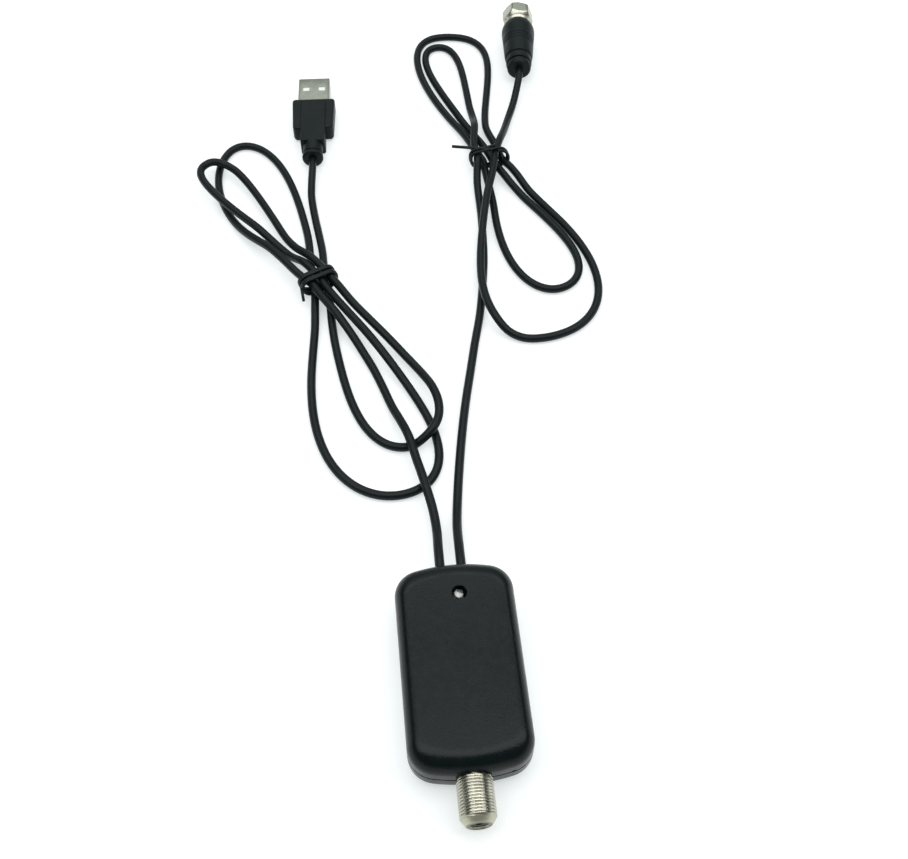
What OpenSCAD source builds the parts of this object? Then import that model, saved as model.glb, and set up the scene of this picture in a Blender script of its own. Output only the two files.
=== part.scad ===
// TV signal amplifier: a small case with a threaded F socket at one end and two cords at the other,
// each tied in a hank, one ending in a USB plug and the other in an F plug.
// Millimetres, +Z up, +Y from the socket end to the cord end, origin at the middle of the case's underside.

/* [Case] */
// Length of the case at its seam
case_l = 59; // [54:0.5:72]
// Width of the case at its seam
case_w = 32.7; // [30:0.1:40]
// Height of the case; the seam, the socket and the cord exits are at half of it
case_h = 15.5; // [14.5:0.1:20]
// Thickness of the case's walls
wall = 1.8; // [1.4:0.1:2.4]
// Thickness of the case's roof and floor
skin_t = 1.6; // [1.2:0.1:2]
// Corner radius in plan
corner_r = 7.5; // [6:0.5:9]
// Rise of the bowed ends in plan
end_bow = 2.8; // [1.5:0.1:4]
// Length of the rounding at the ends
edge_end = 5; // [3:0.5:6]
// Width of the rounding along the sides
edge_side = 3.7; // [2:0.1:5]
// Height of the rounding
edge_h = 5; // [3:0.1:5.5]
// Height of the lip that keys the two halves
lip_h = 1; // [0.6:0.1:1.6]
// Thickness of that lip
lip_t = 0.8; // [0.6:0.1:1]
// Room around the lip
lip_gap = 0.1; // [0.05:0.05:0.2]
// Size of the bevels that meet in the seam line
seam_v = 0.3; // [0.15:0.05:0.5]

/* [Indicator] */
// Diameter of the hole over the lamp
led_hole_d = 4; // [3.4:0.1:5]
// Diameter of the lamp
led_d = 3; // [2.4:0.1:3.2]
// Sideways place of the lamp
led_x = 1.2; // [-4:0.1:4]
// Distance of the lamp from the cord end of the case
led_from_end = 10.5; // [9:0.1:14]
// How far the lamp's dome stays below the top face
led_sunk = 0; // [0:0.1:1.2]

/* [Fasteners] */
// Shank diameter of the case screws
screw_d = 2; // [1.6:0.1:2.4]
// Head diameter of the case screws
screw_head_d = 3.8; // [3.4:0.1:4.2]
// Head height of the case screws
screw_head_h = 1.3; // [1:0.1:1.8]
// Length of the screws under the head
screw_l = 8.5; // [6:0.1:9]
// Diameter of the screw bosses
boss_d = 5; // [4.6:0.1:5.4]
// Room around a screw's shank and head
screw_gap = 0.05; // [0.02:0.01:0.2]

/* [Circuit board] */
// Room between the board and what stands beside it
pcb_gap = 0.4; // [0.2:0.1:1]
// Thickness of the board
pcb_t = 1.2; // [0.8:0.1:1.6]
// Height of the posts under the board
post_h = 2.4; // [2:0.1:3]
// Diameter of those posts
post_d = 3; // [2:0.5:4]

/* [F socket] */
// Outside diameter of the threaded barrel
socket_d = 9.5; // [9.3:0.05:9.7]
// Length of the barrel in front of the case
socket_reach = 11.6; // [9:0.2:16]
// Diameter of the barrel's end face
socket_end_d = 6.5; // [5.8:0.1:8]
// Length of the cone at the barrel's end
socket_cone = 2; // [1:0.1:3]
// Diameter of the barrel's bore
socket_bore_d = 5; // [4.4:0.1:5.4]
// Depth of the insulator behind the end face
insulator_sunk = 0.6; // [0.2:0.1:1.5]
// Diameter of the hole that takes a plug's pin
pin_hole_d = 1.6; // [1.2:0.1:2]
// Depth of that hole
pin_hole_l = 4; // [3:0.5:6]
// Width of the block inside the case
block_w = 11; // [10:0.5:13]
// Length of the block inside the case
block_l = 6; // [4:0.5:6.5]
// Height of the block inside the case
block_h = 9.8; // [9.6:0.1:10]
// Distance of the block from the case's end
block_in = 4.8; // [4.6:0.2:6]
// Diameter of the smooth neck behind the thread
socket_neck_d = 8.9; // [8.4:0.1:9.2]
// Distance of the thread from the case
thread_clear = 0.4; // [0.3:0.1:0.8]
// Room between the barrel's neck and the case
socket_gap = 0.1; // [0.05:0.05:0.2]

/* [USB plug] */
// Width of the metal shell
usb_w = 12; // [11.9:0.05:12.1]
// Thickness of the metal shell
usb_t = 4.5; // [4.4:0.05:4.6]
// Length of the shell in front of the moulding
usb_l = 13; // [11:0.25:14]
// Sheet thickness of the shell
usb_sheet = 0.3; // [0.2:0.05:0.4]
// Length of the shell inside the moulding
usb_grip = 5; // [3:0.5:8]
// Width of the moulding at the metal shell
mould_w = 16.2; // [14:0.2:18]
// Width of the moulding at the neck
mould_rear_w = 15.2; // [13:0.2:17]
// Thickness of the moulding
mould_t = 6.4; // [6:0.1:9]
// Length of the moulding's wide body
mould_l = 16.5; // [14:0.5:22]
// Width of the neck and of the panel that runs on over the body
neck_w = 9.2; // [8:0.2:11]
// Length of the neck
neck_l = 7.5; // [5:0.5:10]
// Diameter of the collar where the cord enters
collar_d = 7.8; // [6.4:0.1:8.2]
// Length of that collar
collar_l = 7; // [5:0.5:8]
// Length of the ring at the collar's end
ring_l = 1.6; // [1:0.1:2.4]
// Depth of the groove behind that ring
ring_groove = 0.6; // [0.3:0.1:0.8]
// Rise of the panel on the moulding's top and underside
panel_t = 0.3; // [0.2:0.1:0.6]

/* [F plug] */
// Width of the nut across its flats
nut_af = 11; // [10.8:0.1:11.4]
// Length of the nut
nut_l = 6.5; // [6:0.5:9]
// Diameter of the nut's bore
nut_bore_d = 9; // [8.8:0.05:9.2]
// Thickness of the nut's back wall
nut_back = 1.5; // [1:0.1:2]
// Largest diameter of the boot
boot_d = 13.2; // [12.8:0.1:15]
// Diameter of the boot at the cord
boot_end_d = 9.2; // [7:0.2:10]
// Diameter of the boot's body at its shoulder
boot_shoulder_d = 10.9; // [10.6:0.1:12.6]
// Length of the boot
boot_l = 27; // [22:0.5:32]
// Depth of the boot's ring grooves
boot_groove = 0.5; // [0.3:0.1:0.8]
// Diameter of the metal collar between boot and nut
ferrule_d = 10; // [9:0.1:10.4]
// Length of that collar
ferrule_l = 2.6; // [2:0.1:4]
// Diameter of the post that the nut turns on
post_nut_d = 7; // [6.4:0.1:7.4]
// Radial room of the nut on its post
nut_gap = 0.05; // [0.02:0.01:0.1]
// Room of the nut along its post
nut_play = 0.3; // [0.2:0.05:0.5]
// Diameter of the centre pin
pin_d = 1; // [0.8:0.05:1.2]

/* [Cords] */
// Diameter of both cords
cord_d = 2.8; // [2.6:0.05:2.85]
// Distance of each cord's exit from the middle of the case
cord_x = 3; // [2.6:0.1:3.6]
// Room around a cord in the case wall
cord_gap = 0.05; // [0.02:0.01:0.1]
// Length of each cord kept inside the case
cord_inside = 4; // [3:0.5:6]

/* [Ties] */
// Width of one turn of the power cord's tie
usb_tie_w = 2.2; // [1.6:0.1:2.6]
// Thickness of the power cord's tie
usb_tie_t = 1; // [0.8:0.05:1.1]
// Thickness of the aerial cord's wire tie
coax_tie_t = 1.1; // [0.9:0.05:1.2]
// Space between the two turns of a tie
tie_space = 0.4; // [0.3:0.1:0.8]
// Room between a tie and the cord in it
tie_gap = 0.15; // [0.1:0.05:0.3]

/* [Hidden] */
$fn = 48;
eps = 0.01;
// How far a cutting shape runs past what it cuts
cut = 1;
corner_steps = 4;
end_steps = 6;
dome_steps = 5;
half_l = case_l / 2;
half_w = case_w / 2;
seam_z = case_h / 2;
roof_z = case_h - skin_t;

// Circuit board and what stands on it
pcb_z = skin_t + post_h;
pcb_top = pcb_z + pcb_t;
block_front = half_l - block_in;
boss_rim = 0.6;
boss_x = half_w - edge_side - screw_head_d / 2 - boss_rim;
boss_y = 12;
boss_spots = [[-boss_x, -boss_y], [boss_x, boss_y]];
pcb_w = case_w - 2 * (wall + 1);
pcb_back = half_l - cord_inside - pcb_gap;
pcb_l = pcb_back + block_front - block_l - pcb_gap;
pcb_y = pcb_back - pcb_l / 2;
pcb_r = corner_r * 2 / 3;
// Places of the small parts, as shares of the board's width and length from its middle
transistor_at = [-0.04, -0.23];
choke_at = [0.13, 0.05];
can_at = [-0.17, 0.09];
chip_cap_x = 0.15;
chip_cap_y = [-0.32, -0.16, -0.07];
chip_res_x = -0.22;
chip_res_y = [-0.32, -0.115, 0.23];
led_y = half_l - led_from_end;
led_top = case_h - led_sunk;
led_h = 4.2;
led_rim = 0.3;
led_rim_h = 0.8;
led_lead_d = 0.5;
led_lead_x = [led_x - 1.27, led_x + 1.27];
led_lead_below = 0.6;
screw_seat = 3.5;
screw_spare = 0.3;
foot_in = 2;

// Lengths along the USB plug, from its collar
body_y = collar_l + neck_l;
panel_in = 1.8;
shell_y = body_y + mould_l;
tongue_t = usb_t / 2 - usb_sheet - 0.15;
window = [2.5, 2.3];
window_from_tip = 7.2;
contact = [1, usb_l - 4, 0.2];
contact_x = [-3.5, -1, 1, 3.5];

// Cords, ties and plugs are placed from the middle of the case's cord end.
cord_end = [0, half_l, 0];
// A plug's place is where its cord enters, and its turn is about the vertical.
usb_at = [-34.1, 178.2, max(collar_d, mould_t + 2 * panel_t) / 2];
usb_turn = -2.7;
fplug_at = [48.4, 219, boot_d / 2];
fplug_turn = -6.5;

// Lengths along the F plug, from the cord's entry, and radii of its inner pieces
ferrule_z = boot_l + ferrule_l;
nut_z = ferrule_z + nut_play;
// Turn of the nut's flats about its axis, as it came to rest
nut_rest = 8;
sleeve_z = boot_l * 0.6;
sleeve_r = ferrule_d * 0.34;
core_z = sleeve_z + 1;
core_r = post_nut_d / 2 - 1;
flange_l = 1;
flange_d = nut_bore_d - 0.6;
nut_tip = 1.2;
pin_sunk = 0.6;

// Cord routes. A lift is the height of the cord's underside above the floor.
cord_r = cord_d / 2;
row_low = 1.4;
row_space = 0.5;
row_high = row_low + cord_d + row_space;
hank_rings = 24;
hank_sides = 6;
lead_sides = 8;
waist_t = 0.075;
slot_reach = 24;

// Loops of the power cord's hank: length, width, fullness, tip, heading, bend, lean, lifts along the loop
usb_tie_at = [-33.5, 117];
usb_loops = [
    [77.5, 26.5, 2.3, 1.9, 119.5, 3.5, -12.5,
        [[0, row_high], [0.16, row_high], [0.3, 0], [0.8, 0], [0.88, row_low], [1, row_low]]],
    [89, 34.5, 2.5, 2.1, -79.5, 0.5, 6.5,
        [[0, row_high], [0.16, row_high], [0.3, 0], [0.8, 0], [0.9, row_low], [1, row_low]]],
    [72.5, 13.5, 3.5, 2.3, 121.5, 2, 0,
        [[0, row_high], [0.1, row_high], [0.16, 1.4], [0.23, 3.8], [0.36, 4.6], [0.5, 4], [0.62, 2.6],
            [0.7, 1.6], [0.8, 1.6], [0.9, row_high], [1, row_high]]],
    [74, 25, 2.6, 2.2, -65.5, -3.5, -0.5,
        [[0, row_high], [0.16, row_high], [0.27, 1.2], [0.36, 3.7], [0.44, 3.5], [0.53, 0], [0.8, 0],
            [0.9, row_low], [1, row_low]]]];
usb_loop_back = [false, true, false, false];
// Places of the passes in the tie: sideways, along, lift
usb_slots = [[-2.2, -3.2, row_high], [-1.7, 0, row_low], [0, 0.2, row_high], [1.6, 3.8, row_high],
    [1.7, 0, row_low]];
usb_lead_route = [[-cord_x, -cord_inside, seam_z], [-cord_x, 3, seam_z], [-2.9, 9, 6.6], [-2.7, 16, 4.2],
    [-3.3, 24, 3.9], [-5, 33, 5], [-6.6, 41, 4.6], [-8.2, 49, 5], [-10.2, 56, 3.6], [-12.5, 63, 1.9],
    [-14.8, 71, 1.4], [-17.4, 79, 1.4], [-20.4, 86, 2], [-23.8, 93, 3.4], [-28.4, 101, 5.5],
    [-33, 108.5, 6.1]];
usb_tail_route = [[-31.9, 125, 2.6], [-32.3, 134, 1.7], [-33.5, 144, 1.4], [-34.6, 153, 1.4],
    [-35.2, 162, 2.2], usb_at + 5 * [sin(usb_turn), -cos(usb_turn), 0], usb_at];

// Loops of the aerial cord's hank
coax_tie_at = [31.5, 172.5];
coax_loops = [
    [72, 13, 3.9, 2.2, 104.5, -7, 0,
        [[0, row_low], [0.1, row_low], [0.2, 0], [0.8, 0], [0.84, row_high], [1, row_high]]],
    [66.5, 22.5, 2.6, 2.1, -80, 14, -1,
        [[0, row_low], [0.1, row_low], [0.2, 0], [0.8, 0], [0.9, row_low], [1, row_low]]],
    [77.5, 28, 2.7, 2.4, 105, -21, 2,
        [[0, row_low], [0.1, row_low], [0.2, 0], [0.8, 0], [0.9, row_low], [1, row_low]]],
    [86, 40.5, 2.3, 2.2, -76, -5, -7,
        [[0, row_low], [0.1, row_low], [0.2, 0], [0.56, 0], [0.655, 4], [0.7, 3.6], [0.725, 3], [0.76, 3.6],
            [0.86, row_high], [1, row_high]]]];
coax_loop_back = [true, false, false, false];
coax_slots = [[-4.8, 0, row_high], [0.9, 0, row_low], [-2.7, 0, row_low], [4.5, 0.5, row_low],
    [1.6, 0, row_high]];
coax_lead_route = [[cord_x, -cord_inside, seam_z], [cord_x, 3, seam_z], [3.1, 9, 6.4], [3.4, 17, 3.6],
    [4.4, 26, 1.6], [6, 37, 1.4], [8.2, 50, 1.4], [10.8, 63, 1.4], [13.6, 75, 1.4], [16.4, 87, 1.4],
    [19.4, 99, 1.4], [21.8, 112, 1.4], [23.6, 124, 1.4], [24.6, 136, 1.4], [25.2, 148, 1.5], [25.3, 160, 3.4],
    [26.2, 168, 5.8]];
coax_tail_route = [[35.8, 179.5, 6.2], [38.4, 187, 4], [41.2, 196, 2], [44.2, 204, 2.4], [46.6, 211, 4.8],
    fplug_at + 3 * [sin(fplug_turn), -cos(fplug_turn), 0], fplug_at];

// Colours
black_abs = [0.08, 0.085, 0.09];
black_pvc = [0.06, 0.06, 0.065];
nickel = [0.78, 0.75, 0.66];
white_plastic = [0.92, 0.92, 0.9];
gold = [0.85, 0.68, 0.3];
board_green = [0.1, 0.35, 0.2];
dark_part = [0.15, 0.15, 0.16];

// A closed solid through a stack of rings with equal counts of points
module skin(rings) {
    n = len(rings[0]);
    last = len(rings) - 1;
    points = [for (r = rings) each r];
    sides = [for (k = [0 : last - 1]) for (i = [0 : n - 1]) let (j = (i + 1) % n)
        each [[k * n + i, (k + 1) * n + i, k * n + j], [k * n + j, (k + 1) * n + i, (k + 1) * n + j]]];
    caps = [[for (i = [0 : n - 1]) i], [for (i = [n - 1 : -1 : 0]) last * n + i]];
    polyhedron(points, concat(sides, caps));
}

// Outline in plan: straight sides, bowed ends, round corners
function plan(hl, hw, rc, bow) =
    let (end_r = (hw * hw + bow * bow) / (2 * bow),
        end_y = hl - end_r,
        cx = hw - rc,
        cy = end_y + sqrt(pow(end_r - rc, 2) - cx * cx),
        turn = atan2(cy - end_y, cx),
        half = concat(
            [for (i = [0 : corner_steps]) let (a = turn * i / corner_steps)
                [cx + rc * cos(a), cy + rc * sin(a)]],
            [for (i = [1 : end_steps]) let (a = turn + (180 - 2 * turn) * i / end_steps)
                [end_r * cos(a), end_y + end_r * sin(a)]],
            [for (i = [1 : corner_steps]) let (a = 180 - turn + turn * i / corner_steps)
                [-cx + rc * cos(a), cy + rc * sin(a)]]))
    concat(half, [for (p = half) -p]);

// The case's outline moved in by the given amounts, as a ring at height z
function case_ring(z, in_end, in_side) =
    [for (p = plan(half_l - in_end, half_w - in_side, max(corner_r - in_side, 1.5), end_bow))
        [p[0], p[1], z]];

// Rings of half the case, from the seam up to height h, moved in by the given amount
function half_rings(inset, h) =
    [for (k = [0 : dome_steps]) let (a = 90 * k / dome_steps)
        case_ring(h - edge_h + edge_h * sin(a), inset + edge_end * (1 - cos(a)),
            inset + edge_side * (1 - cos(a)))];

// The shell that both halves start from, with the seam at height zero
module half_shell() {
    difference() {
        skin(concat([case_ring(0, seam_v, seam_v), case_ring(seam_v, 0, 0)], half_rings(0, seam_z)));
        skin(concat([case_ring(-cut, wall, wall)], half_rings(wall, seam_z - skin_t)));
    }
}

// A rectangle with round corners as a ring at height z, its width w at the far end and rear_w at the near end
function slab_ring(w, rear_w, l, r, z) =
    [for (q = [0 : 3]) for (k = [0 : corner_steps])
        let (a = 90 * (q + k / corner_steps), right = q % 3 == 0 ? 1 : -1, far = q < 2 ? 1 : -1)
        [right * ((far > 0 ? w : rear_w) / 2 - r) + r * cos(a), far * (l / 2 - r) + r * sin(a), z]];

// A slab with round corners and softened edges, middle at the origin
module slab(w, rear_w, l, t, r, edge) {
    small = 2 * edge;
    skin([slab_ring(w - small, rear_w - small, l - small, r, -t / 2),
        slab_ring(w, rear_w, l, r, -t / 2 + edge),
        slab_ring(w, rear_w, l, r, t / 2 - edge), slab_ring(w - small, rear_w - small, l - small, r, t / 2)]);
}

// A rectangle with round corners, in plan
module round_rect(x0, x1, y0, y1, r) {
    translate([x0 + r, y0])
        square([x1 - x0 - 2 * r, y1 - y0]);
    translate([x0, y0 + r])
        square([x1 - x0, y1 - y0 - 2 * r]);
    for (x = [x0 + r, x1 - r])
        for (y = [y0 + r, y1 - r])
            translate([x, y])
                circle(r);
}

// A cylinder along +Y from the origin
module rod(d, l) {
    rotate([-90, 0, 0])
        cylinder(d = d, h = l);
}

// What passes through the walls at the seam: the barrel and the two cords
module seam_holes() {
    translate([0, -half_l - cut, seam_z])
        rod(socket_neck_d + 2 * socket_gap, cut + block_in);
    for (side = [-1, 1])
        translate([side * cord_x, half_l - cord_inside, seam_z])
            rod(cord_d + 2 * cord_gap, cord_inside + cut);
}

module top_shell() {
    color(black_abs)
        difference() {
            union() {
                translate([0, 0, seam_z])
                    half_shell();
                for (s = boss_spots)
                    translate([s[0], s[1], seam_z])
                        cylinder(d = boss_d, h = roof_z - seam_z + eps);
            }
            translate([led_x, led_y, roof_z - cut])
                cylinder(d = led_hole_d, h = skin_t + 2 * cut);
            seam_holes();
            lip_ring(lip_gap, lip_h + lip_gap);
            for (s = boss_spots)
                translate([s[0], s[1], screw_seat])
                    cylinder(d = screw_d + 2 * screw_gap, h = screw_l + screw_spare);
        }
}

// The keying lip stands on the lower half's wall and goes into a groove of the same outline in the upper half
module lip_ring(room, h) {
    outer = wall - lip_t - room;
    difference() {
        translate([0, 0, -eps])
            skin([case_ring(seam_z, outer, outer), case_ring(seam_z + h, outer, outer)]);
        skin([case_ring(seam_z - cut, wall, wall), case_ring(seam_z + h + cut, wall, wall)]);
    }
}

module bottom_shell() {
    color(black_abs)
        difference() {
            union() {
                translate([0, 0, seam_z])
                    mirror([0, 0, 1])
                        half_shell();
                lip_ring(0, lip_h);
                for (s = boss_spots)
                    translate([s[0], s[1], skin_t - eps])
                        cylinder(d = boss_d, h = seam_z - skin_t + eps);
                for (x = [-1, 1])
                    for (y = [-1, 1])
                        translate([x * (pcb_w / 2 - post_d), pcb_y + y * (pcb_l / 2 - post_d), skin_t - eps])
                            cylinder(d = post_d, h = post_h + eps);
            }
            seam_holes();
            for (s = boss_spots) {
                translate([s[0], s[1], -cut])
                    cylinder(d = screw_d + 2 * screw_gap, h = case_h);
                translate([s[0], s[1], -cut])
                    cylinder(d = screw_head_d + 2 * screw_gap, h = screw_seat + cut);
            }
        }
}

module case_screw(s) {
    color(nickel)
        translate([s[0], s[1], screw_seat]) {
            translate([0, 0, -screw_head_h])
                cylinder(d = screw_head_d, h = screw_head_h);
            cylinder(d = screw_d, h = screw_l);
        }
}

module case_screw_a() {
    case_screw(boss_spots[0]);
}

module case_screw_b() {
    case_screw(boss_spots[1]);
}

module pcb() {
    color(board_green)
        difference() {
            translate([0, 0, pcb_z])
                linear_extrude(pcb_t)
                    round_rect(-pcb_w / 2, pcb_w / 2, pcb_y - pcb_l / 2, pcb_y + pcb_l / 2, pcb_r);
            for (x = led_lead_x)
                translate([x, led_y, pcb_z - cut])
                    cylinder(d = led_lead_d + 2 * screw_gap, h = pcb_t + 2 * cut);
            for (s = boss_spots)
                translate([s[0], s[1], pcb_z - cut])
                    cylinder(d = boss_d + 2 * pcb_gap, h = pcb_t + 2 * cut);
        }
}

module f_socket_body() {
    color(nickel)
        difference() {
            union() {
                translate([0, -half_l - socket_reach, seam_z])
                    rotate([-90, 0, 0])
                        cylinder(d1 = socket_end_d, d2 = socket_d, h = socket_cone);
                translate([0, -half_l - socket_reach + socket_cone, seam_z])
                    rod(socket_d, socket_reach - socket_cone - thread_clear);
                translate([0, -half_l - thread_clear - eps, seam_z])
                    rod(socket_neck_d, half_l + thread_clear - block_front + 2 * eps);
                translate([-block_w / 2, -block_front, seam_z - block_h / 2])
                    cube([block_w, block_l, block_h]);
            }
            translate([0, -half_l - socket_reach - cut, seam_z])
                rod(socket_bore_d, half_l + socket_reach + 2 * cut);
        }
}

module f_socket_insulator() {
    front = -half_l - socket_reach + insulator_sunk;
    color(black_pvc)
        difference() {
            translate([0, front, seam_z])
                rod(socket_bore_d, -block_front + block_l - front);
            translate([0, front - cut, seam_z])
                rod(pin_hole_d, pin_hole_l + cut);
            translate([0, front, seam_z])
                rod(pin_d, half_l + socket_reach);
        }
}

module f_socket_contact() {
    front = -half_l - socket_reach + insulator_sunk + pin_hole_l;
    foot_y = pcb_y - pcb_l / 2 + foot_in;
    color(gold) {
        translate([0, front, seam_z])
            rod(pin_d, foot_y + pin_d / 2 - front);
        translate([0, foot_y, pcb_top])
            cylinder(d = led_lead_d, h = seam_z - pcb_top);
    }
}

module indicator_led() {
    base_z = led_top - led_h;
    color([0.95, 0.95, 0.9])
        translate([led_x, led_y, base_z])
            rotate_extrude()
                union() {
                    square([led_d / 2 + led_rim, led_rim_h]);
                    square([led_d / 2, led_h - led_d / 2]);
                    intersection() {
                        translate([0, led_h - led_d / 2])
                            circle(d = led_d);
                        square([led_d / 2, led_h]);
                    }
                }
}

module led_leads() {
    color(nickel)
        for (x = led_lead_x)
            translate([x, led_y, pcb_z - led_lead_below])
                cylinder(d = led_lead_d, h = led_top - led_h - pcb_z + led_lead_below);
}

// Puts a part on the board at the given shares of its width and length
module on_board(x, y) {
    translate([x * pcb_w, pcb_y + y * pcb_l, pcb_top])
        children();
}

// A block that stands on the board
module chip(w, l, h) {
    translate([-w / 2, -l / 2, 0])
        cube([w, l, h]);
}

module rf_transistor() {
    leg_x = 1.1;
    leg_y = 0.9;
    color(dark_part)
        on_board(transistor_at[0], transistor_at[1]) {
            chip(1.6, 3, 1.1);
            for (leg = [[-leg_x, -leg_y], [-leg_x, leg_y], [leg_x, 0]])
                translate(leg)
                    chip(0.6, 0.5, 0.2);
        }
}

module choke_inductor() {
    drum_d = 6;
    drum_h = 4;
    rim_h = 0.8;
    color(dark_part)
        on_board(choke_at[0], choke_at[1]) {
            cylinder(d = drum_d, h = rim_h);
            cylinder(d = drum_d * 0.7, h = drum_h);
            translate([0, 0, drum_h - rim_h])
                cylinder(d = drum_d, h = rim_h);
        }
}

module electrolytic_capacitor() {
    can_d = 5;
    can_h = 4.6;
    foot_w = can_d + 0.2;
    color(dark_part)
        on_board(can_at[0], can_at[1]) {
            cylinder(d = can_d, h = can_h);
            chip(foot_w, foot_w, 0.8);
        }
}

module chip_capacitors() {
    color([0.7, 0.55, 0.4])
        for (y = chip_cap_y)
            on_board(chip_cap_x, y)
                chip(1.2, 2, 0.9);
}

module chip_resistors() {
    color(dark_part)
        for (y = chip_res_y)
            on_board(chip_res_x, y)
                chip(1.2, 2, 0.5);
}

// Places a plug whose cord enters at its own origin and whose tip points along +Y
module usb_place() {
    translate(cord_end + usb_at)
        rotate([0, 0, usb_turn])
            children();
}

module usb_overmould() {
    r = collar_d / 2;
    color(black_abs)
        usb_place()
            difference() {
                union() {
                    rotate([-90, 0, 0])
                        rotate_extrude()
                            polygon([[0, 0], [r - 0.8, 0], [r - 0.2, 0.4], [r, 0.9], [r, ring_l],
                                [r - ring_groove, ring_l + 0.3], [r - ring_groove, ring_l + 0.8],
                                [r - 0.2, ring_l + 1.2], [r - 0.2, collar_l + 1], [0, collar_l + 1]]);
                    translate([0, (collar_l + shell_y - panel_in) / 2, 0])
                        slab(neck_w, neck_w, shell_y - panel_in - collar_l,
                            mould_t + 2 * panel_t, 1, panel_t);
                    translate([0, body_y + mould_l / 2, 0])
                        slab(mould_w, mould_rear_w, mould_l, mould_t, 1.2, 0.7);
                }
                translate([-usb_w / 2, shell_y - usb_grip, -usb_t / 2])
                    cube([usb_w, usb_grip + cut, usb_t]);
            }
}

module usb_shell() {
    inside = [usb_w - 2 * usb_sheet, usb_grip + usb_l + 2 * cut, usb_t - 2 * usb_sheet];
    color(nickel)
        usb_place()
            difference() {
                translate([-usb_w / 2, shell_y - usb_grip, -usb_t / 2])
                    cube([usb_w, usb_grip + usb_l, usb_t]);
                translate([-inside[0] / 2, shell_y - usb_grip - cut, -inside[2] / 2])
                    cube(inside);
                for (x = [-1, 1])
                    translate([x * usb_w / 4 - window[0] / 2, shell_y + usb_l - window_from_tip, -usb_t])
                        cube([window[0], window[1], 2 * usb_t]);
            }
}

module usb_insulator() {
    tongue_sunk = 0.4;
    color(white_plastic)
        usb_place()
            translate([-usb_w / 2 + usb_sheet, shell_y - usb_grip, usb_t / 2 - usb_sheet - tongue_t])
                cube([usb_w - 2 * usb_sheet, usb_grip + usb_l - tongue_sunk, tongue_t]);
}

module usb_contacts() {
    color(gold)
        usb_place()
            for (x = contact_x)
                translate([x - contact[0] / 2, shell_y + 2, usb_t / 2 - usb_sheet - tongue_t - contact[2]])
                    cube(contact);
}

// Places a turned piece of the F plug, drawn with its axis on +Z and the cord's entry at the origin
module fplug_place() {
    translate(cord_end + fplug_at)
        rotate([0, 0, fplug_turn])
            rotate([-90, 0, 0])
                children();
}

module f_plug_boot() {
    r = boot_d / 2;
    re = boot_end_d / 2;
    rs = boot_shoulder_d / 2;
    color(black_abs)
        fplug_place()
            difference() {
                rotate_extrude()
                    polygon([[0, 0], [re - 0.5, 0], [re, 0.6], [re + 0.1, 2.1], [re + 0.1 - boot_groove, 2.6],
                        [re + 0.4, 3.2], [re + 0.5, 5.6], [re + 0.5 - boot_groove, 6.2], [rs - 0.4, 6.6],
                        [rs, 7.2], [rs + 0.3, boot_l * 0.37], [r - 0.45, boot_l * 0.62],
                        [r - 0.1, boot_l * 0.78], [r, boot_l * 0.86], [r - 0.5, boot_l * 0.95],
                        [ferrule_d / 2 + 0.3, boot_l], [0, boot_l]]);
                translate([0, 0, sleeve_z])
                    cylinder(r = sleeve_r, h = boot_l);
            }
}

module f_plug_ferrule() {
    color(nickel)
        fplug_place()
            difference() {
                union() {
                    translate([0, 0, sleeve_z])
                        cylinder(r = sleeve_r, h = boot_l - sleeve_z + eps);
                    translate([0, 0, boot_l])
                        cylinder(d = ferrule_d, h = ferrule_l);
                    translate([0, 0, ferrule_z - eps])
                        cylinder(d = post_nut_d, h = nut_back + 2 * nut_play + flange_l);
                    translate([0, 0, nut_z + nut_back + nut_play])
                        cylinder(d = flange_d, h = flange_l);
                }
                translate([0, 0, core_z])
                    cylinder(r = core_r, h = boot_l);
            }
}

module f_plug_dielectric() {
    color(white_plastic)
        fplug_place()
            difference() {
                translate([0, 0, core_z])
                    cylinder(r = core_r, h = nut_z + nut_back + nut_play + flange_l / 2 - core_z);
                translate([0, 0, sleeve_z])
                    cylinder(d = pin_d, h = boot_l);
            }
}

module f_plug_pin() {
    color(gold)
        fplug_place()
            translate([0, 0, core_z])
                cylinder(d = pin_d, h = nut_z + nut_l - pin_sunk - core_z);
}

module f_plug_nut() {
    round_d = nut_af + 2.4;
    color(nickel)
        fplug_place()
            translate([0, 0, nut_z])
                difference() {
                    intersection() {
                        rotate([0, 0, nut_rest])
                            cylinder(d = nut_af / cos(30), h = nut_l, $fn = 6);
                        union() {
                            cylinder(d1 = nut_af, d2 = round_d, h = nut_tip);
                            translate([0, 0, nut_tip])
                                cylinder(d = round_d, h = nut_l - 2 * nut_tip);
                            translate([0, 0, nut_l - nut_tip])
                                cylinder(d1 = round_d, d2 = nut_af - 0.6, h = nut_tip);
                        }
                    }
                    translate([0, 0, -cut])
                        cylinder(d = post_nut_d + 2 * nut_gap, h = nut_l);
                    translate([0, 0, nut_back])
                        cylinder(d = nut_bore_d, h = nut_l);
                }
}

// Height along a loop, eased between its stations
function lift_at(t, stations, k = 1) =
    t <= stations[k][0] || k == len(stations) - 1
        ? let (a = stations[k - 1], b = stations[k])
            a[1] + (b[1] - a[1]) * (1 - cos(180 * (t - a[0]) / (b[0] - a[0]))) / 2
        : lift_at(t, stations, k + 1);

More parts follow.
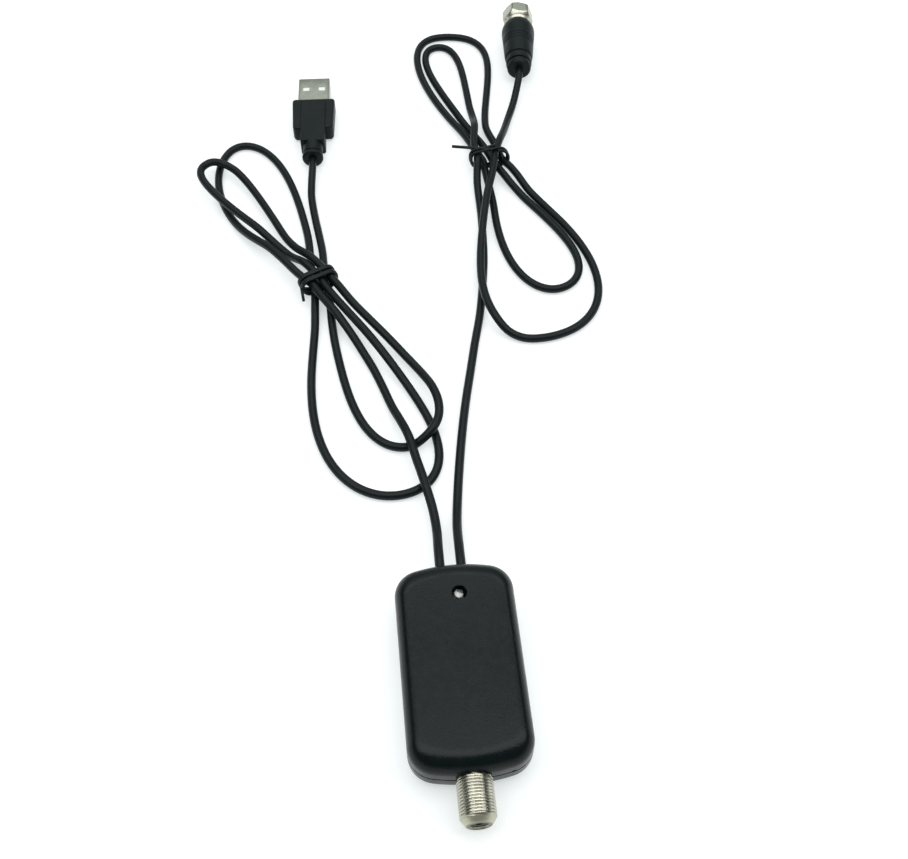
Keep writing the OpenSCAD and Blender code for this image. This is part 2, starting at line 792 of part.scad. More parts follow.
// One point of a loop that leaves its tie, rounds its tip and comes back, t from 0 to 1.
// The tip sets how blunt the far end is, the fullness how far out the loop is widest.
function loop_point(t, loop, at, slot) =
    let (s = sin(180 * t),
        c = cos(180 * t),
        full = loop[2],
        widest = pow(full / (1 + full), full / 2) / sqrt(1 + full),
        along = loop[0] * (1 - pow(abs(c), loop[3])),
        across = loop[1] / 2 * pow(s, full) * c / widest + loop[6] * pow(s, 4),
        turn = loop[5] * along / loop[0],
        bend_r = loop[0] / (loop[5] * PI / 180),
        x = bend_r * sin(turn) - across * sin(turn),
        y = bend_r * (1 - cos(turn)) + across * cos(turn),
        fade = pow(cos(90 * min(1, along / slot_reach)), 2))
    [at[0] + x * cos(loop[4]) - y * sin(loop[4]) + slot[0] * fade,
        at[1] + x * sin(loop[4]) + y * cos(loop[4]) + slot[1] * fade,
        cord_r + lift_at(t, loop[7])];

function slot_point(at, slot) = [at[0] + slot[0], at[1] + slot[1], cord_r + slot[2]];

// Centre line of a hank: each pass through the tie, then the loop that follows it
function hank_route(at, slots, loops, back) =
    concat(
        [for (i = [0 : len(loops) - 1]) each concat(
            [slot_point(at, slots[i])],
            [for (k = [0 : hank_rings - 1])
                let (f = waist_t + (1 - 2 * waist_t) * k / (hank_rings - 1),
                    t = back[i] ? 1 - f : f)
                loop_point(t, loops[i], at, f < 0.5 ? slots[i] : slots[i + 1])])],
        [slot_point(at, slots[len(loops)])]);

// A smooth line through hand-chosen points, with one point added between each two
function smooth(p) =
    let (n = len(p) - 1)
    [for (i = [0 : n]) each i == n ? [p[n]] :
        let (a = p[max(i - 1, 0)], b = p[i], c = p[i + 1], d = p[min(i + 2, n)])
        [b, (9 * (b + c) - a - d) / 16]];

function direction(p, i) =
    let (d = p[min(i + 1, len(p) - 1)] - p[max(i - 1, 0)])
    d / norm(d);

// Ring of a tube around point i of a route
function tube_ring(p, i, sides) =
    let (t = direction(p, i),
        flat = cross([0, 0, 1], t),
        side = flat / norm(flat),
        up = cross(t, side))
    [for (k = [0 : sides - 1]) let (a = 360 * (k + 0.5) / sides)
        p[i] + cord_r * (cos(a) * side + sin(a) * up)];

// A stretch of cord from point a to point b of its route
module cord_tube(route, a, b, sides) {
    color(black_pvc)
        translate(cord_end)
            skin([for (i = [a : b]) tube_ring(route, i, sides)]);
}

usb_hank = hank_route(usb_tie_at, usb_slots, usb_loops, usb_loop_back);
usb_lead = smooth(concat(usb_lead_route, [usb_hank[0]]));
usb_tail = smooth(concat([usb_hank[len(usb_hank) - 1]], usb_tail_route));
usb_route = concat(usb_lead, [for (i = [1 : len(usb_hank) - 2]) usb_hank[i]], usb_tail);
usb_a = len(usb_lead) - 1;
usb_b = usb_a + len(usb_hank) - 1;

coax_hank = hank_route(coax_tie_at, coax_slots, coax_loops, coax_loop_back);
coax_lead = smooth(concat(coax_lead_route, [coax_hank[0]]));
coax_tail = smooth(concat([coax_hank[len(coax_hank) - 1]], coax_tail_route));
coax_route = concat(coax_lead, [for (i = [1 : len(coax_hank) - 2]) coax_hank[i]], coax_tail);
coax_a = len(coax_lead) - 1;
coax_b = coax_a + len(coax_hank) - 1;

module usb_cord_lead() {
    cord_tube(usb_route, 0, usb_a, lead_sides);
}

module usb_cord_hank() {
    cord_tube(usb_route, usb_a, usb_b, hank_sides);
}

module usb_cord_tail() {
    cord_tube(usb_route, usb_b, len(usb_route) - 1, lead_sides);
}

module coax_cord_lead() {
    cord_tube(coax_route, 0, coax_a, lead_sides);
}

module coax_cord_hank() {
    cord_tube(coax_route, coax_a, coax_b, hank_sides);
}

module coax_cord_tail() {
    cord_tube(coax_route, coax_b, len(coax_route) - 1, lead_sides);
}

// Least gap of a cord to itself, measured on points along the route, leaving out near neighbours
gap_parts = 4;
near_by = 15;
function fine(p) =
    [for (i = [0 : len(p) - 2]) for (k = [0 : gap_parts - 1]) p[i] + (p[i + 1] - p[i]) * k / gap_parts];
function runs(p) =
    [for (i = 0, s = 0; i < len(p); s = s + (i < len(p) - 1 ? norm(p[i + 1] - p[i]) : 0), i = i + 1) s];
function least_gap(p) =
    let (f = fine(p), s = runs(f), n = len(f))
    min([for (i = [0 : n - 2]) for (j = [i + 1 : n - 1])
        if (s[j] - s[i] > near_by) norm(f[i] - f[j])]) - cord_d;
function route_l(p) = runs(p)[len(p) - 1];

union() {
    echo(usb_least_gap = least_gap(usb_route), usb_length = route_l(usb_route));
    echo(coax_least_gap = least_gap(coax_route), coax_length = route_l(coax_route));
}

// One turn of a tie: a rounded frame around the passes, in the plane across the bundle
module tie_turn(low, high, from, to, t, w) {
    r = cord_r + tie_gap;
    translate([0, w / 2, 0])
        rotate([90, 0, 0])
            linear_extrude(w)
                difference() {
                    round_rect(from - t, to + t, low - t, high + t, r + t);
                    round_rect(from, to, low, high, r);
                }
}

tie_low = row_low - tie_gap;
tie_high = row_high + cord_d + tie_gap;

module usb_tie() {
    left = -6.4;
    right = 5.4;
    tail_l = 6;
    heading = 24;
    tail_turn = -18;
    color(black_pvc)
        translate(cord_end + [usb_tie_at[0], usb_tie_at[1], 0])
            rotate([0, 0, heading]) {
                for (side = [-1, 1])
                    translate([0, side * (usb_tie_w + tie_space) / 2, 0])
                        tie_turn(tie_low, tie_high, left, right, usb_tie_t, usb_tie_w);
                translate([left - usb_tie_t / 2, 0, row_high])
                    rotate([0, 0, tail_turn])
                        translate([-usb_tie_t / 2, -tail_l, -usb_tie_w / 2])
                            cube([usb_tie_t, tail_l + usb_tie_w / 2, usb_tie_w]);
            }
}

module coax_tie() {
    left = -6.9;
    right = 6.2;
    heading = 10;
    tail_from = [0.8, -0.6, tie_high + coax_tie_t / 2 + 0.12];
    tail_turn = 68;
    tail_l = 15.2;
    color(black_pvc)
        translate(cord_end + [coax_tie_at[0], coax_tie_at[1], 0])
            rotate([0, 0, heading]) {
                for (side = [-1, 1])
                    translate([0, side * (coax_tie_t + tie_space) / 2, 0])
                        tie_turn(tie_low, tie_high, left, right, coax_tie_t, coax_tie_t);
                translate(tail_from)
                    rotate([-90, 0, tail_turn])
                        cylinder(d = coax_tie_t, h = tail_l);
            }
}

top_shell();
bottom_shell();
case_screw_a();
case_screw_b();
pcb();
f_socket_body();
f_socket_insulator();
f_socket_contact();
indicator_led();
led_leads();
rf_transistor();
choke_inductor();
electrolytic_capacitor();
chip_capacitors();
chip_resistors();
usb_shell();
usb_insulator();
usb_contacts();
usb_overmould();
f_plug_boot();
f_plug_ferrule();
f_plug_dielectric();
f_plug_pin();
f_plug_nut();
usb_tie();
coax_tie();
usb_cord_lead();
usb_cord_hank();
usb_cord_tail();
coax_cord_lead();
coax_cord_hank();
coax_cord_tail();
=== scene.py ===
"""Dressed model of a small TV signal amplifier with two tied cords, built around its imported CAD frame.

Sizes are in millimetres, as in the part's source, and become metres where a mesh or a curve is made.
Camera, floor and lights are in metres.
"""

import math

import bmesh
import bpy
from mathutils import Matrix, Vector

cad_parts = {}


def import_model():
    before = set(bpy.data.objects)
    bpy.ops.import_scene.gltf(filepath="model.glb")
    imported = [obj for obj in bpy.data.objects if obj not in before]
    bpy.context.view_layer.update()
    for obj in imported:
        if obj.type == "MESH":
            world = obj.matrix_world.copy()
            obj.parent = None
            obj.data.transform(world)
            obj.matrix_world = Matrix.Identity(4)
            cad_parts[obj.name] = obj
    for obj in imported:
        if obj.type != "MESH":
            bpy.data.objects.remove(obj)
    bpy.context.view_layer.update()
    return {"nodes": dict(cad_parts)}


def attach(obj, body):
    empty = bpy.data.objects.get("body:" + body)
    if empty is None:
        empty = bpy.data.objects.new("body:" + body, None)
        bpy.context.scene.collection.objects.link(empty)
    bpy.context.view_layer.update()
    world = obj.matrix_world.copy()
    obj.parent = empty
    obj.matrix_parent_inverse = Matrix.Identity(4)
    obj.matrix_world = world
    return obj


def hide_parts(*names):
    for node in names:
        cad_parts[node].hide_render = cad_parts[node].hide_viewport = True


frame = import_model()

MM = 0.001
# How far a cutter reaches past what it cuts
OVERCUT = 1
# Corners of a rectangle, in order
CORNERS = ((1, 1), (-1, 1), (-1, -1), (1, -1))

# Case
CASE_L, CASE_W, CASE_H = 59, 32.7, 15.5
HALF_L, HALF_W, SEAM_Z = CASE_L / 2, CASE_W / 2, CASE_H / 2
WALL, SKIN = 1.8, 1.6
CORNER_R, CORNER_MIN_R, END_BOW = 7.5, 1.5, 2.8
EDGE_END, EDGE_SIDE, EDGE_H = 5, 3.7, 5
FACE_IN, SEAM_V = 0.6, 0.3
SOCKET_GAP, CORD_GAP = 0.1, 0.05
NOTCH_X, NOTCH_Y, NOTCH_W, NOTCH_L, NOTCH_H, NOTCH_BELOW = 10.2, -28.3, 1, 1, 0.8, 0.1

# Screws and their bosses in the lower half
BOSS_X, BOSS_Y, BOSS_D, BOSS_SINK = 10.15, 12, 5, 0.1
SCREWS = {"a": (-BOSS_X, -BOSS_Y), "b": (BOSS_X, BOSS_Y)}
SCREW_D, SCREW_HEAD_D, SCREW_HEAD_H, SCREW_L, SCREW_SEAT = 2, 3.8, 1.3, 8.5, 3.5
SCREW_GAP, SCREW_TIP_L, SCREW_TIP_R = 0.05, 1, 0.3
SLOT_W, SLOT_L, SLOT_H, SLOT_OUT = 0.5, 2.2, 0.8, 0.5

# Indicator; heights in the lamp are from its foot
LED_X, LED_Y, LED_D, LED_HOLE_D, LED_H = 1.2, 19.0, 3, 4, 4.2
LED_FOOT = CASE_H - LED_H
LED_RIM, LED_RIM_H, LED_BEVEL = 0.3, 0.8, 0.25
CUP_X, CUP_Y = LED_X - 0.15, LED_Y + 0.05
CUP_LINE = ((0.4, 0.4), (2.2, 0.8), (3.0, 0.95), (2.95, 0.8), (2.7, 0.5), (2.65, 0.02))
LAMP_POST_W, LAMP_POST_Y0, LAMP_POST_Y1, LAMP_POST_TURN = 1.5, 0.36, 1.01, -31
LAMP_POST_LEVELS = ((0.4, 0.8), (3.05, 1), (3.2, 0.9))

# F socket, along Y
SOCKET_D, SOCKET_END_D, SOCKET_BORE_D, SOCKET_NECK_D = 9.5, 6.5, 5, 8.9
SOCKET_REACH, SOCKET_CONE = 11.6, 2
SOCKET_TIP = -HALF_L - SOCKET_REACH
THREAD_END, NECK_THREAD_END = -HALF_L - 0.4, -HALF_L + 2
BLOCK_W, BLOCK_H, BLOCK_FRONT, BLOCK_BACK = 11, 9.8, -24.7, -18.7
# From the tip, where the cone's dull finish and the lip's painted shade start to fade and where they end
CONE_FADE, LIP_SHADE_FADE = (1.4, 1.9), (0.05, 0.25)
# Threads: the pitch, the depths, and the shares of the pitch at which a crest ends and a root starts
THREAD_PITCH = 0.794
SOCKET_THREAD, NECK_THREAD, NUT_THREAD = 0.34, 0.3, 0.3
SOCKET_CREST, NUT_CREST, THREAD_ROOT = 0.45, 0.15, 0.9

# USB plug, along its own Y from where the cord enters
USB_TURN = -2.7
USB_W, USB_T, USB_SHEET, USB_GRIP = 12, 4.5, 0.3, 5
COLLAR_D, COLLAR_L, RING_L, RING_GROOVE = 7.8, 7, 1.6, 0.6
NECK_W, NECK_R, NECK_EDGE = 9.2, 0.8, 0.25
SHELL_Y, SHELL_TIP, POCKET_R = 31, 44, 0.6
MOULD_Y, MOULD_W, MOULD_REAR_W, MOULD_T, MOULD_R, MOULD_EDGE = 13.3, 16.2, 15.2, 6.4, 1.2, 0.9
WING_SLANT = 0.45
PANEL_T, PANEL_IN, PANEL_LINE_W, PANEL_LINE_H = 0.3, 1.8, 0.25, 0.2
WINDOW_X, WINDOW_W, WINDOW_Y0, WINDOW_Y1, WINDOW_R = 3, 2.5, 36.8, 39.1, 0.25

# F plug, along its own Y from where the cord enters
FPLUG_TURN = -6.5
BOOT_D, BOOT_END_D, BOOT_SHOULDER_D, BOOT_L, BOOT_GROOVE = 13.2, 9.2, 10.9, 27, 0.5
GRIP_LINES, GRIP_LINE_H = (13.7, 15.2, 16.7), 0.22
SLEEVE_Y, SLEEVE_R = 16.2, 3.4
FERRULE_D, FERRULE_END, POST_R, CORE_R = 10, 29.6, 3.5, 2.5
FLANGE_Y, FLANGE_R, FLANGE_L = 31.7, 4.2, 1
NUT_Y, NUT_L, NUT_AF, NUT_BACK, NUT_REST = 29.9, 6.5, 11, 1.5, 8
NUT_ROUND_R, NUT_TIP, NUT_TIP_R, NUT_REAR, NUT_REAR_R = NUT_AF / 2 + 1.2, 1.2, NUT_AF / 2 - 0.3, 2, 4.9
NUT_BORE_R, NUT_POST_R = 4.5, 3.55

# Cords and ties, placed from the middle of the case's cord end
CORD_END = Vector((0, HALF_L, 0))
CORD_D, CORD_X, CORD_INSIDE = 2.8, 3, 4
ROW_LOW, ROW_HIGH = 1.4, 4.7
HANK_RINGS, WAIST_T, SLOT_REACH = 24, 0.075, 24
USB_AT, USB_STRAIGHT = Vector((-34.1, 178.2, 3.9)), 5
FPLUG_AT, FPLUG_STRAIGHT = Vector((48.4, 219, 6.6)), 3
TIE_LOW, TIE_HIGH = 1.25, 7.65
# Two bands: corner radii of their frame from the upper right one on, and their loose end
USB_TIE_AT, USB_TIE_TURN = Vector((-33.5, 117, 0)), 24
BAND_LEFT, BAND_RIGHT, BAND_RADII = -6.3, 5.3, (2.3, 3.4, 4, 2.2)
BAND_W, BAND_T, BAND_EDGE, BAND_SPACE, BAND_SPREAD, BAND_STEPS = 1.8, 1.0, 0.45, 0.45, 0.1, 72
BAND_END_L, BAND_END_IN, BAND_END_R, BAND_END_TURN = 6, 1.1, 0.3, -18
# Two turns of wire, likewise
COAX_TIE_AT, COAX_TIE_TURN = Vector((31.5, 172.5, 0)), 10
WIRE_LEFT, WIRE_RIGHT, WIRE_RADII = -6.9, 6.2, (4.2, 1.6, 3.6, 1.7)
WIRE_T, WIRE_TURNS, WIRE_PITCH, WIRE_START, WIRE_STEPS = 1.1, 2, 1.5, 0.08, 48
WIRE_END_AT = Vector((0.8, -0.6, TIE_HIGH + WIRE_T / 2 + 0.12))
WIRE_END_L, WIRE_END_TURN, WIRE_END_STEPS = 15.2, 68, 8

# Materials: widths of clouds, of changes in gloss and of drawn lines, and how far the gloss varies
PLASTIC_CLOUD, PLASTIC_GLOSS = 9, 2.5
METAL_CLOUD, METAL_GLOSS, METAL_LINE, METAL_LINE_H = 3, 0.8, 0.15, 0.004
ROUGHNESS_SPREAD = 0.05
NOISE_LOW, NOISE_HIGH = 0.3, 0.7

# Camera at the photograph's angle, in metres and degrees
CAMERA_AT = (-0.01426, -0.1213, 0.2924)
CAMERA_TILT, CAMERA_TURN = 35.12, -5.7
LENS, SENSOR_W = 45.2, 36

# Floor, world and strip lights, in metres and watts
FLOOR_HALF, FLOOR_Z, FLOOR_GLOW = 3, -0.00005, 0.55
COOL_WHITE = (0.94, 1, 1, 1)
WORLD_LEAN, WORLD_FOCUS, WORLD_LOW, WORLD_HIGH = (0, 0.67, 0.743), 8, 0.16, 1.15
HORIZON_LEVEL, HORIZON_START, HORIZON_END = 0.74, 0.1, 0.22
STRIP_W = 2.0
# Each strip's place, depth and power
STRIPS = {"front_strip": ((0.12, 0.005, 0.8), 0.5, 7.4), "back_strip": ((0.12, 0.57, 0.8), 0.24, 2.7)}


# Node helpers

def calculated(tree, operation, *values):
    """A maths node's result from sockets and numbers."""
    node = tree.nodes.new("ShaderNodeMath")
    node.operation = operation
    for socket, value in zip(node.inputs, values):
        if isinstance(value, (int, float)):
            socket.default_value = value
        else:
            tree.links.new(value, socket)
    return node.outputs["Value"]


def mapped(tree, value, start, end, low, high):
    """A result that runs from low to high as a value runs from start to end."""
    node = tree.nodes.new("ShaderNodeMapRange")
    limits = {"From Min": start, "From Max": end, "To Min": low, "To Max": high}
    for socket, limit in limits.items():
        node.inputs[socket].default_value = limit
    tree.links.new(value, node.inputs["Value"])
    return node.outputs["Result"]


def shader(name, sockets):
    """A new material and its Principled shader with the given sockets set."""
    material = bpy.data.materials.new(name)
    material.use_nodes = True
    bsdf = material.node_tree.nodes["Principled BSDF"]
    for socket, value in sockets.items():
        bsdf.inputs[socket].default_value = value
    return material, bsdf


def noise(material, size, detail=2.0, stretch=(1, 1, 1)):
    """Noise fixed to the piece, with features about size millimetres wide."""
    tree = material.node_tree
    coords = tree.nodes.new("ShaderNodeTexCoord")
    mapping = tree.nodes.new("ShaderNodeMapping")
    mapping.inputs["Scale"].default_value = stretch
    texture = tree.nodes.new("ShaderNodeTexNoise")
    texture.inputs["Scale"].default_value = 1 / (size * MM)
    texture.inputs["Detail"].default_value = detail
    tree.links.new(coords.outputs["Object"], mapping.inputs["Vector"])
    tree.links.new(mapping.outputs["Vector"], texture.inputs["Vector"])
    return texture.outputs[0]


def vary(material, socket, value, low, high):
    """Drives a socket between two numbers by a noise value."""
    tree = material.node_tree
    tree.links.new(mapped(tree, value, NOISE_LOW, NOISE_HIGH, low, high), socket)


def tint(material, socket, value, dark, light):
    """Drives a colour socket between two colours by a noise value."""
    tree = material.node_tree
    ramp = tree.nodes.new("ShaderNodeValToRGB")
    stops = ((NOISE_LOW, dark), (NOISE_HIGH, light))
    for element, (position, colour) in zip(ramp.color_ramp.elements, stops):
        element.position = position
        element.color = (*colour, 1)
    tree.links.new(value, ramp.inputs["Fac"])
    tree.links.new(ramp.outputs["Color"], socket)


def bump(material, bsdf, value, depth, strength):
    """Roughens the surface by a noise value, depth in millimetres."""
    tree = material.node_tree
    node = tree.nodes.new("ShaderNodeBump")
    node.inputs["Strength"].default_value = strength
    node.inputs["Distance"].default_value = depth * MM
    tree.links.new(value, node.inputs["Height"])
    tree.links.new(node.outputs["Normal"], bsdf.inputs["Normal"])


# Materials

def coat(material, bsdf, dark, light, cloud, roughness, gloss):
    """Clouded colour and uneven gloss, with clouds and changes in gloss of the given widths."""
    low, high = roughness - ROUGHNESS_SPREAD, roughness + ROUGHNESS_SPREAD
    tint(material, bsdf.inputs["Base Color"], noise(material, cloud), dark, light)
    vary(material, bsdf.inputs["Roughness"], noise(material, gloss), low, high)


def plastic(name, dark, light, roughness, grain, depth, strength=0.6, specular=0.5):
    """Moulded plastic: cloudy colour, uneven gloss and a fine grain."""
    material, bsdf = shader(name, {"IOR": 1.5, "Specular IOR Level": specular})
    coat(material, bsdf, dark, light, PLASTIC_CLOUD, roughness, PLASTIC_GLOSS)
    bump(material, bsdf, noise(material, grain), depth, strength)
    return material


def metal(name, dark, light, roughness, stretch=(1, 1, 1)):
    """Plated metal: clouded plating, uneven gloss and fine drawn lines."""
    material, bsdf = shader(name, {"Metallic": 1.0})
    coat(material, bsdf, dark, light, METAL_CLOUD, roughness, METAL_GLOSS)
    bump(material, bsdf, noise(material, METAL_LINE, 3.0, stretch), METAL_LINE_H, 0.4)
    return material


def tip_band(material, fade, roughness, colour):
    """A band of other roughness and colour at the socket's tip, which fades out over the given places behind
    it; it gives the cone a duller finish and the lip painted shade.
    """
    start, end = SOCKET_TIP + fade[0], SOCKET_TIP + fade[1]
    tree = material.node_tree
    bsdf = tree.nodes["Principled BSDF"]
    coords = tree.nodes.new("ShaderNodeTexCoord")
    split = tree.nodes.new("ShaderNodeSeparateXYZ")
    tree.links.new(coords.outputs["Object"], split.inputs["Vector"])
    share = mapped(tree, split.outputs["Y"], start * MM, end * MM, 1, 0)
    for socket, kind, value in (("Roughness", "FLOAT", roughness), ("Base Color", "RGBA", (*colour, 1))):
        mix = tree.nodes.new("ShaderNodeMix")
        mix.data_type = kind
        plain = [s for s in mix.inputs if s.name == "A" and s.enabled][0]
        band_value = [s for s in mix.inputs if s.name == "B" and s.enabled][0]
        band_value.default_value = value
        tree.links.new(share, mix.inputs["Factor"])
        tree.links.new(bsdf.inputs[socket].links[0].from_socket, plain)
        tree.links.new([s for s in mix.outputs if s.enabled][0], bsdf.inputs[socket])


case_abs = plastic("case_abs", (0.0025, 0.0055, 0.006), (0.0035, 0.0075, 0.008),
                   roughness=0.25, grain=0.5, depth=0.05, strength=0.8, specular=0.19)
moulding_pvc = plastic("moulding_pvc", (0.003, 0.007, 0.0075), (0.005, 0.0095, 0.010),
                       roughness=0.44, grain=0.3, depth=0.03, specular=0.18)
cord_pvc = plastic("cord_pvc", (0.003, 0.0065, 0.007), (0.005, 0.009, 0.0095),
                   roughness=0.38, grain=0.5, depth=0.02, specular=0.2)
tie_pvc = plastic("tie_pvc", (0.003, 0.006, 0.0065), (0.0045, 0.008, 0.0085),
                  roughness=0.45, grain=0.4, depth=0.02, specular=0.24)
white_nylon = plastic("white_nylon", (0.9, 0.9, 0.88), (0.95, 0.95, 0.93),
                      roughness=0.4, grain=0.4, depth=0.01)
board_mask = plastic("board_mask", (0.012, 0.09, 0.035), (0.018, 0.12, 0.05),
                     roughness=0.35, grain=0.6, depth=0.01)
component_epoxy = plastic("component_epoxy", (0.02, 0.02, 0.022), (0.03, 0.03, 0.032),
                          roughness=0.5, grain=0.3, depth=0.02)
chip_ceramic = plastic("chip_ceramic", (0.34, 0.22, 0.12), (0.42, 0.28, 0.16),
                       roughness=0.45, grain=0.3, depth=0.01)
lead_nickel = metal("nickel", (0.42, 0.41, 0.34), (0.52, 0.51, 0.43), roughness=0.22)
nut_nickel = metal("nut_nickel", (0.43, 0.435, 0.36), (0.51, 0.515, 0.43), roughness=0.26)
collar_nickel = metal("collar_nickel", (0.62, 0.61, 0.52), (0.72, 0.71, 0.61), roughness=0.4)
usb_steel = metal("usb_steel", (0.34, 0.355, 0.295), (0.43, 0.445, 0.375),
                  roughness=0.34, stretch=(1, 0.08, 1))
screw_steel = metal("screw_steel", (0.42, 0.42, 0.43), (0.52, 0.52, 0.53), roughness=0.3)
contact_gold = metal("contact_gold", (0.78, 0.56, 0.2), (0.86, 0.64, 0.28), roughness=0.22)

# The socket's cone is duller than its thread, and its lip is darkened with painted shade
socket_nickel = metal("socket_nickel", (0.42, 0.41, 0.34), (0.52, 0.51, 0.43), roughness=0.22)
tip_band(socket_nickel, CONE_FADE, 0.45, (0.54, 0.53, 0.4))
tip_band(socket_nickel, LIP_SHADE_FADE, 0.45, (0.24, 0.24, 0.2))

lens_resin, lens_bsdf = shader("lens_resin", {"IOR": 1.5, "Transmission Weight": 1.0})
tint(lens_resin, lens_bsdf.inputs["Base Color"], noise(lens_resin, 1), (0.93, 0.94, 0.93), (0.97, 0.98, 0.97))
vary(lens_resin, lens_bsdf.inputs["Roughness"], noise(lens_resin, 0.6), 0.02, 0.06)


# Mesh helpers

def added(name, data):
    """A new object with the given mesh, curve, camera or light, in the scene."""
    obj = bpy.data.objects.new(name, data)
    bpy.context.scene.collection.objects.link(obj)
    return obj


def solid(name, rings, loop=False, where=None):
    """An object whose closed skin runs through rings of equal counts of points.

    Flat caps close its ends, or else a loop joins the last ring to the first."""
    count, last = len(rings[0]), len(rings) - 1
    points = [Vector(p) for ring in rings for p in ring]
    if where:
        points = [where @ p for p in points]
    faces = []
    for k in range(last + 1 if loop else last):
        a, b = k * count, (k + 1) % (last + 1) * count
        faces += [(a + i, a + (i + 1) % count, b + (i + 1) % count, b + i) for i in range(count)]
    if not loop:
        faces += [tuple(range(count)), tuple(range(last * count, (last + 1) * count))]
    mesh = bpy.data.meshes.new(name)
    mesh.from_pydata([p * MM for p in points], [], faces)
    made = bmesh.new()
    made.from_mesh(mesh)
    bmesh.ops.recalc_face_normals(made, faces=made.faces)
    made.to_mesh(mesh)
    made.free()
    return added(name, mesh)


def combine(obj, operation, *others):
    """Joins other objects to obj, or cuts them from it, and removes them."""
    for other in others:
        modifier = obj.modifiers.new("combine", "BOOLEAN")
        modifier.operation = operation
        modifier.solver = "EXACT"
        modifier.object = other
    bpy.context.view_layer.update()
    mesh = bpy.data.meshes.new_from_object(obj.evaluated_get(bpy.context.evaluated_depsgraph_get()))
    obj.modifiers.clear()
    obj.data = mesh
    for other in others:
        bpy.data.objects.remove(other)


def dress(obj, material, slot, *nodes, body="amplifier", sharp=35):
    """Gives a piece its finish and its body, and hides the CAD nodes that it stands for."""
    obj.data.materials.clear()
    obj.data.materials.append(material)
    if obj.type == "MESH":
        obj.data.shade_smooth()
        obj.data.set_sharp_from_angle(angle=math.radians(sharp))
    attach(obj, body)
    if nodes:
        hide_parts(*nodes)
    return obj


def placed(at, turn):
    """Where a plug or tie goes, turned about the vertical."""
    return Matrix.Translation(CORD_END + at) @ Matrix.Rotation(math.radians(turn), 4, "Z")


def upright(x, y):
    """Stands a shape turned about +Y on end at a place in plan."""
    return Matrix.Translation((x, y, 0)) @ Matrix.Rotation(math.pi / 2, 4, "X")


def circle(y, r, steps=64, limit=None):
    """A ring about +Y; limit gives the largest radius at an angle."""
    angles = [2 * math.pi * i / steps for i in range(steps)]
    radii = [min(r, limit(a)) if limit else r for a in angles]
    return [(q * math.cos(a), y, q * math.sin(a)) for a, q in zip(angles, radii)]


def turned(profile, steps=64):
    """Rings of a turned shape from pairs of place along +Y and radius."""
    return [circle(y, r, steps) for y, r in profile]


def threaded(y, top_r, depth, crest, steps, limit=math.inf):
    """A ring across a screw thread that runs about +Y, cut down to the limit.

    The crest is the share of the pitch over which the thread keeps its full height."""
    ring = []
    for i in range(steps):
        a = 2 * math.pi * i / steps
        rise = abs(2 * ((y / THREAD_PITCH - i / steps) % 1) - 1)
        fall = min(1, max(0, (rise - crest) / (THREAD_ROOT - crest)))
        r = min(limit, top_r - depth * fall * fall * (3 - 2 * fall))
        ring.append((r * math.cos(a), y, r * math.sin(a)))
    return ring


def steps_between(a, b, step):
    """Evenly spaced places from a to b, about step apart."""
    n = max(1, round(abs(b - a) / step))
    return [a + (b - a) * k / n for k in range(n + 1)]


def taper(name, x, y, w, l, levels):
    """An upright four-sided block from pairs of height and scale."""
    return solid(name, [[(x + i * w / 2 * k, y + j * l / 2 * k, z) for i, j in CORNERS] for z, k in levels])


def round_rect(w, t, r, y, steps=6):
    """A rectangle with round corners as a ring across +Y."""
    ring = []
    for q, (right, up) in enumerate(CORNERS):
        for k in range(steps + 1):
            a = math.pi / 2 * (q + k / steps)
            ring.append((right * (w / 2 - r) + r * math.cos(a), y, up * (t / 2 - r) + r * math.sin(a)))
    return ring


def softened(outline, t, edge, steps=5):
    """Rings of a slab through z from an outline that takes an inset, with rounded upper and lower edges."""
    rings = []
    for k in range(steps + 1):
        a = math.pi / 2 * k / steps
        z = -t / 2 + edge * (1 - math.sin(a))
        rings.append([(x, y, z) for x, y in outline(edge * (1 - math.cos(a)))])
    rings = rings[::-1]
    return rings + [[(x, y, -z) for x, y, z in ring] for ring in rings[::-1]]


def smooth(points):
    """A smooth line through points, with one point added between each two."""
    line, n = [], len(points) - 1
    for i in range(n):
        a, b, c, d = points[max(i - 1, 0)], points[i], points[i + 1], points[min(i + 2, n)]
        line += [b, (9 * (b + c) - a - d) / 16]
    return line + [points[n]]


def tube(name, route, thickness):
    """A round cord or wire along a route."""
    curve = bpy.data.curves.new(name, "CURVE")
    curve.dimensions = "3D"
    curve.bevel_depth = thickness / 2 * MM
    curve.bevel_resolution = 5
    curve.use_fill_caps = True
    spline = curve.splines.new("POLY")
    spline.points.add(len(route) - 1)
    for point, at in zip(spline.points, route):
        point.co = (*(at * MM), 1)
    return added(name, curve)


# Camera

camera = added("camera", bpy.data.cameras.new("camera"))
camera.location = CAMERA_AT
camera.rotation_euler = (math.radians(CAMERA_TILT), 0, math.radians(CAMERA_TURN))
camera.data.sensor_fit = "HORIZONTAL"
camera.data.sensor_width = SENSOR_W
camera.data.lens = LENS
bpy.context.scene.camera = camera


# Cords: each leaves the case, is tied in a hank of four loops and ends in its plug

def eased(t, stations):
    """Lift of the cord at t, eased between stations."""
    for (t0, z0), (t1, z1) in zip(stations, stations[1:]):
        if t <= t1:
            break
    return z0 + (z1 - z0) * (1 - math.cos(math.pi * (t - t0) / (t1 - t0))) / 2


